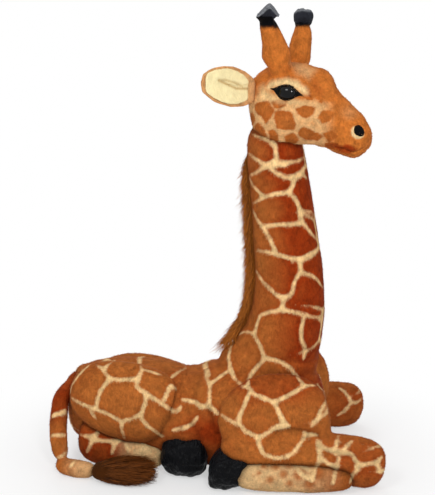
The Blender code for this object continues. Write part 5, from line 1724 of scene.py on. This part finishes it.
class GIRAFFE_OT_tail(bpy.types.Operator):
    """Tail and its tuft of long pile"""

    bl_idname = "giraffe.tail"
    bl_label = "Tail"

    def execute(self, context):
        s = settings()
        ob = stuffed_skin("tail_coat", ["tail_upper", "tail_lower"], cell=0.0020, puff=0.0008, rounds=14)
        crumple(ob.data, strength=0.0008, size=0.016, seed=17)
        co = points_of(ob.data)
        tucked = step_between(0.092, 0.135, co[:, 2])
        co[:, 0] += 0.010 * tucked
        co[:, 2] -= 0.006 * tucked
        move_points(ob.data, co)
        away = line_distance(co, points_on_skin(ob.data, TAIL_LINES))
        low_part = step_between(0.06, 0.02, co[:, 2])
        dress_coat(ob, away=away, deep=0.85 * step_between(0.05, 0.10, co[:, 2]), face=0.3 * low_part,
                   cream=0.45 * step_between(-0.235, -0.195, co[:, 0]) * low_part)
        hand_in(ob, "tail", ["tail_upper", "tail_lower"])
        lay_nap(ob, np.stack([0.1 + low_part, 0 * low_part, low_part - 1.0], axis=1))

        core = stuffed_skin("tuft_backing", ["tail_tuft"], cell=0.0020, puff=-0.0015, rounds=8)
        low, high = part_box("tail_tuft")
        middle = (low + high) / 2
        co = points_of(core.data)
        taper = step_between(high.x - 0.045, high.x - 0.004, co[:, 0])
        centre = np.array([middle.y, high.z * 0.42])
        co[:, 1:] = centre + (co[:, 1:] - centre) * (1 - 0.30 * taper)[:, None]
        co[:, 0] -= taper * 0.006
        co[:, 1] = middle.y + (co[:, 1] - middle.y) * 1.30 - 0.003
        co[:, 2] *= 1.06
        move_points(core.data, above_floor(co, 0.0004))
        # painted shade: the backing under the strands is a darker brown than the tuft
        ground = tuple(c * 0.5 for c in s.tuft_colour)
        finish_with(core.data, pile_material("tuft_ground", ground, 0.002, 0.5))
        tree = skin_tree(core.data)
        rng = np.random.default_rng(31)
        roots = []
        while len(roots) < s.tuft_strands:
            turn = rng.uniform(0.0, 2 * math.pi)
            x = rng.uniform(low.x + 0.002, high.x - 0.002)
            ray = Vector((0.0, math.cos(turn), math.sin(turn)))
            hit, nor, _, _ = tree.ray_cast(Vector((x, middle.y, middle.z)) + ray * 0.1, -ray)
            if hit is None:
                continue
            room = rng.uniform(0.018, 0.036)
            room = min(room, high.x + 0.004 + rng.uniform(-0.010, 0.006) - hit.x)
            across = nor.y * 0.006 + rng.normal(0, 0.0015)
            up = nor.z * 0.004 + rng.normal(-0.001, 0.0018)
            tip = hit + Vector((max(room, 0.004), across, up))
            tip.z = max(tip.z, 0.0012)
            roots.append((hit - nor * 0.001, tip, nor * 0.0014))
        pile = strands("tuft_strands", roots, spread=0.0014, seed=32, width=0.0012)
        move_points(pile.data, above_floor(points_of(pile.data), 0.0004))
        pile.data.materials.append(strand_material("tuft_pile", s.tuft_colour))
        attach(pile, "tail")
        hand_in(core, "tail", ["tail_tuft"])
        return {"FINISHED"}


def coated_skins():
    """All skins that bear the coat's short pile."""
    return [o for o in bpy.data.objects if o.type == "MESH" and o.data.attributes.get("nap")]


def crease_shade_strength(first, second):
    """How dark the painted shade in the crease between two skins is: fainter where a form grows out of the
    body.
    """
    pair = first.name + second.name
    if "body" not in pair:
        return 1.0
    return 0.25 if "foreleg" in pair else 0.6


class GIRAFFE_OT_shade_creases(bpy.types.Operator):
    """Painted shade in the creases where one stuffed piece meets another"""

    bl_idname = "giraffe.seams"
    bl_label = "Shade_Creases"

    def execute(self, context):
        skins = coated_skins()
        hooves = [o for o in bpy.data.objects if o.name.endswith("_satin")]
        trees = {ob: skin_tree(ob.data) for ob in skins + hooves}
        for ob in skins:
            crease_shading = np.empty(len(ob.data.vertices), np.float32)
            ob.data.attributes["seam"].data.foreach_get("value", crease_shading)
            for other, tree in trees.items():
                if other is ob:
                    continue
                strength = crease_shade_strength(ob, other)
                for i, point in enumerate(points_of(ob.data)):
                    near = tree.find_nearest(point, CREASE_REACH)[3]
                    if near is not None:
                        crease_shading[i] = max(crease_shading[i], strength * math.exp(-(near / CREASE_WIDTH) ** 2))
            put_values(ob.data, "seam", crease_shading)
        return {"FINISHED"}


class GIRAFFE_OT_pile(bpy.types.Operator):
    """Short pile of the whole coat"""

    bl_idname = "giraffe.pile"
    bl_label = "Short Pile"

    def execute(self, context):
        for seed, skin in enumerate(sorted(coated_skins(), key=lambda o: o.name)):
            pile = grow_pile(skin, PILE_SEED + seed)
            if skin.get("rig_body"):
                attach(pile, skin["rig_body"])
            else:
                bend_with_neck(pile)
        return {"FINISHED"}


class GIRAFFE_OT_frame(bpy.types.Operator):
    """Finish of the wires and washers inside"""

    bl_idname = "giraffe.frame"
    bl_label = "Wire Frame"

    def execute(self, context):
        wire = plain_material("drawn_wire", (0.55, 0.56, 0.58), 0.3, metallic=1.0)
        washer = plain_material("washer_moulding", (0.8, 0.8, 0.8), 0.5)
        for node in ("spine_wire", "neck_wire", "head_stem", "right_eye_washer", "left_eye_washer"):
            finish_with(frame["nodes"][node].data, washer if "washer" in node else wire)
        return {"FINISHED"}


def seen_or_mirrored(tree):
    """1 for the camera, in reflections and through glass, 0 for light on the object."""
    path = tree.nodes.new("ShaderNodeLightPath")
    seen = maths(tree, "MAXIMUM", path.outputs["Is Camera Ray"], path.outputs["Is Glossy Ray"])
    return maths(tree, "MAXIMUM", seen, path.outputs["Is Transmission Ray"])


def show_mixed(tree, output, factor, first, second):
    """Links two shaders, mixed by a factor, to the tree's output."""
    mixed = tree.nodes.new("ShaderNodeMixShader")
    for socket, source in zip(mixed.inputs, (factor, first.outputs[0], second.outputs[0])):
        tree.links.new(source, socket)
    tree.links.new(mixed.outputs[0], tree.nodes.new(output).inputs["Surface"])


class GIRAFFE_OT_stage(bpy.types.Operator):
    """Floor, soft lights, white background and camera"""

    bl_idname = "giraffe.stage"
    bl_label = "Stage"

    def execute(self, context):
        floor_mesh = bpy.data.meshes.new("floor")
        bm = bmesh.new()
        bmesh.ops.create_circle(bm, cap_ends=True, segments=64, radius=FLOOR_RADIUS)
        bm.to_mesh(floor_mesh)
        bm.free()
        floor = new_object("floor", floor_mesh)
        floor.location.z = -FLOOR_DROP
        made = bpy.data.materials.new("white_floor")
        made.use_nodes = True
        tree = made.node_tree
        tree.nodes.clear()
        matte = add(tree, "ShaderNodeBsdfDiffuse", Color=(0.86, 0.86, 0.86, 1.0))
        glow = add(tree, "ShaderNodeEmission", Color=(1, 1, 1, 1), Strength=1.0)
        length = add(tree, "ShaderNodeVectorMath", operation="LENGTH")
        tree.links.new(add(tree, "ShaderNodeTexCoord").outputs["Object"], length.inputs[0])
        far = ramp(tree, length.outputs["Value"], GLOW_FROM, GLOW_TO, low=0.50)
        shown = maths(tree, "MULTIPLY", far, seen_or_mirrored(tree))
        show_mixed(tree, "ShaderNodeOutputMaterial", shown, matte, glow)
        floor.data.materials.append(made)

        world = bpy.data.worlds.new("studio")
        bpy.context.scene.world = world
        world.use_nodes = True
        tree = world.node_tree
        tree.nodes.clear()
        light = add(tree, "ShaderNodeBackground", Color=(1, 1, 1, 1), Strength=WORLD_LIGHT)
        white = add(tree, "ShaderNodeBackground", Color=(1, 1, 1, 1), Strength=1.0)
        show_mixed(tree, "ShaderNodeOutputWorld", seen_or_mirrored(tree), light, white)

        for name, (at, size, power) in LAMPS.items():
            lamp = bpy.data.lights.new(name, "AREA")
            lamp.size = size
            lamp.energy = power
            ob = new_object(name, lamp)
            ob.location = at
            ob.rotation_euler = (LAMPS_AIM - Vector(at)).to_track_quat("-Z", "Y").to_euler()

        data = bpy.data.cameras.new("camera")
        camera = new_object("camera", data)
        camera.location = CAMERA_AT
        camera.rotation_euler = (math.pi / 2 - CAMERA_PITCH, 0.0, 0.0)
        data.sensor_width = FILM_WIDTH
        data.lens = FOCAL_PIXELS / PICTURE[1] * FILM_WIDTH
        bpy.context.scene.camera = camera
        bpy.context.scene.view_settings.view_transform = "Standard"
        return {"FINISHED"}


OPERATORS = (
    GIRAFFE_OT_stage,
    GIRAFFE_OT_body,
    GIRAFFE_OT_hind_legs,
    GIRAFFE_OT_forelegs,
    GIRAFFE_OT_hooves,
    GIRAFFE_OT_head,
    GIRAFFE_OT_horn_tips,
    GIRAFFE_OT_ears,
    GIRAFFE_OT_eyes,
    GIRAFFE_OT_mane,
    GIRAFFE_OT_tail,
    GIRAFFE_OT_frame,
    GIRAFFE_OT_shade_creases,
    GIRAFFE_OT_pile,
)


class GIRAFFE_PT_panel(bpy.types.Panel):
    """Lists the giraffe's settings and pieces"""

    bl_label = "Plush Giraffe"
    bl_idname = "GIRAFFE_PT_panel"
    bl_space_type = "VIEW_3D"
    bl_region_type = "UI"
    bl_category = "Giraffe"

    def draw(self, context):
        column = self.layout.column()
        for name in GiraffeSettings.__annotations__:
            column.prop(context.scene.plush_giraffe, name)
        for operator in OPERATORS:
            column.operator(operator.bl_idname)


CLASSES = (GiraffeSettings, *OPERATORS, GIRAFFE_PT_panel)


def register():
    """Makes the settings, operators and panel known to Blender."""
    for cls in CLASSES:
        bpy.utils.register_class(cls)
    bpy.types.Scene.plush_giraffe = bpy.props.PointerProperty(type=GiraffeSettings)


def unregister():
    """Takes them out again."""
    del bpy.types.Scene.plush_giraffe
    for cls in reversed(CLASSES):
        bpy.utils.unregister_class(cls)


def main():
    """Builds every piece in order."""
    register()
    bpy.ops.giraffe.stage()
    bpy.ops.giraffe.body()
    bpy.ops.giraffe.hind_legs()
    bpy.ops.giraffe.forelegs()
    bpy.ops.giraffe.hooves()
    bpy.ops.giraffe.head()
    bpy.ops.giraffe.horn_tips()
    bpy.ops.giraffe.ears()
    bpy.ops.giraffe.eyes()
    bpy.ops.giraffe.mane()
    bpy.ops.giraffe.tail()
    bpy.ops.giraffe.frame()
    bpy.ops.giraffe.seams()
    bpy.ops.giraffe.pile()
    bpy.context.view_layer.update()


if __name__ == "__main__":
    main()
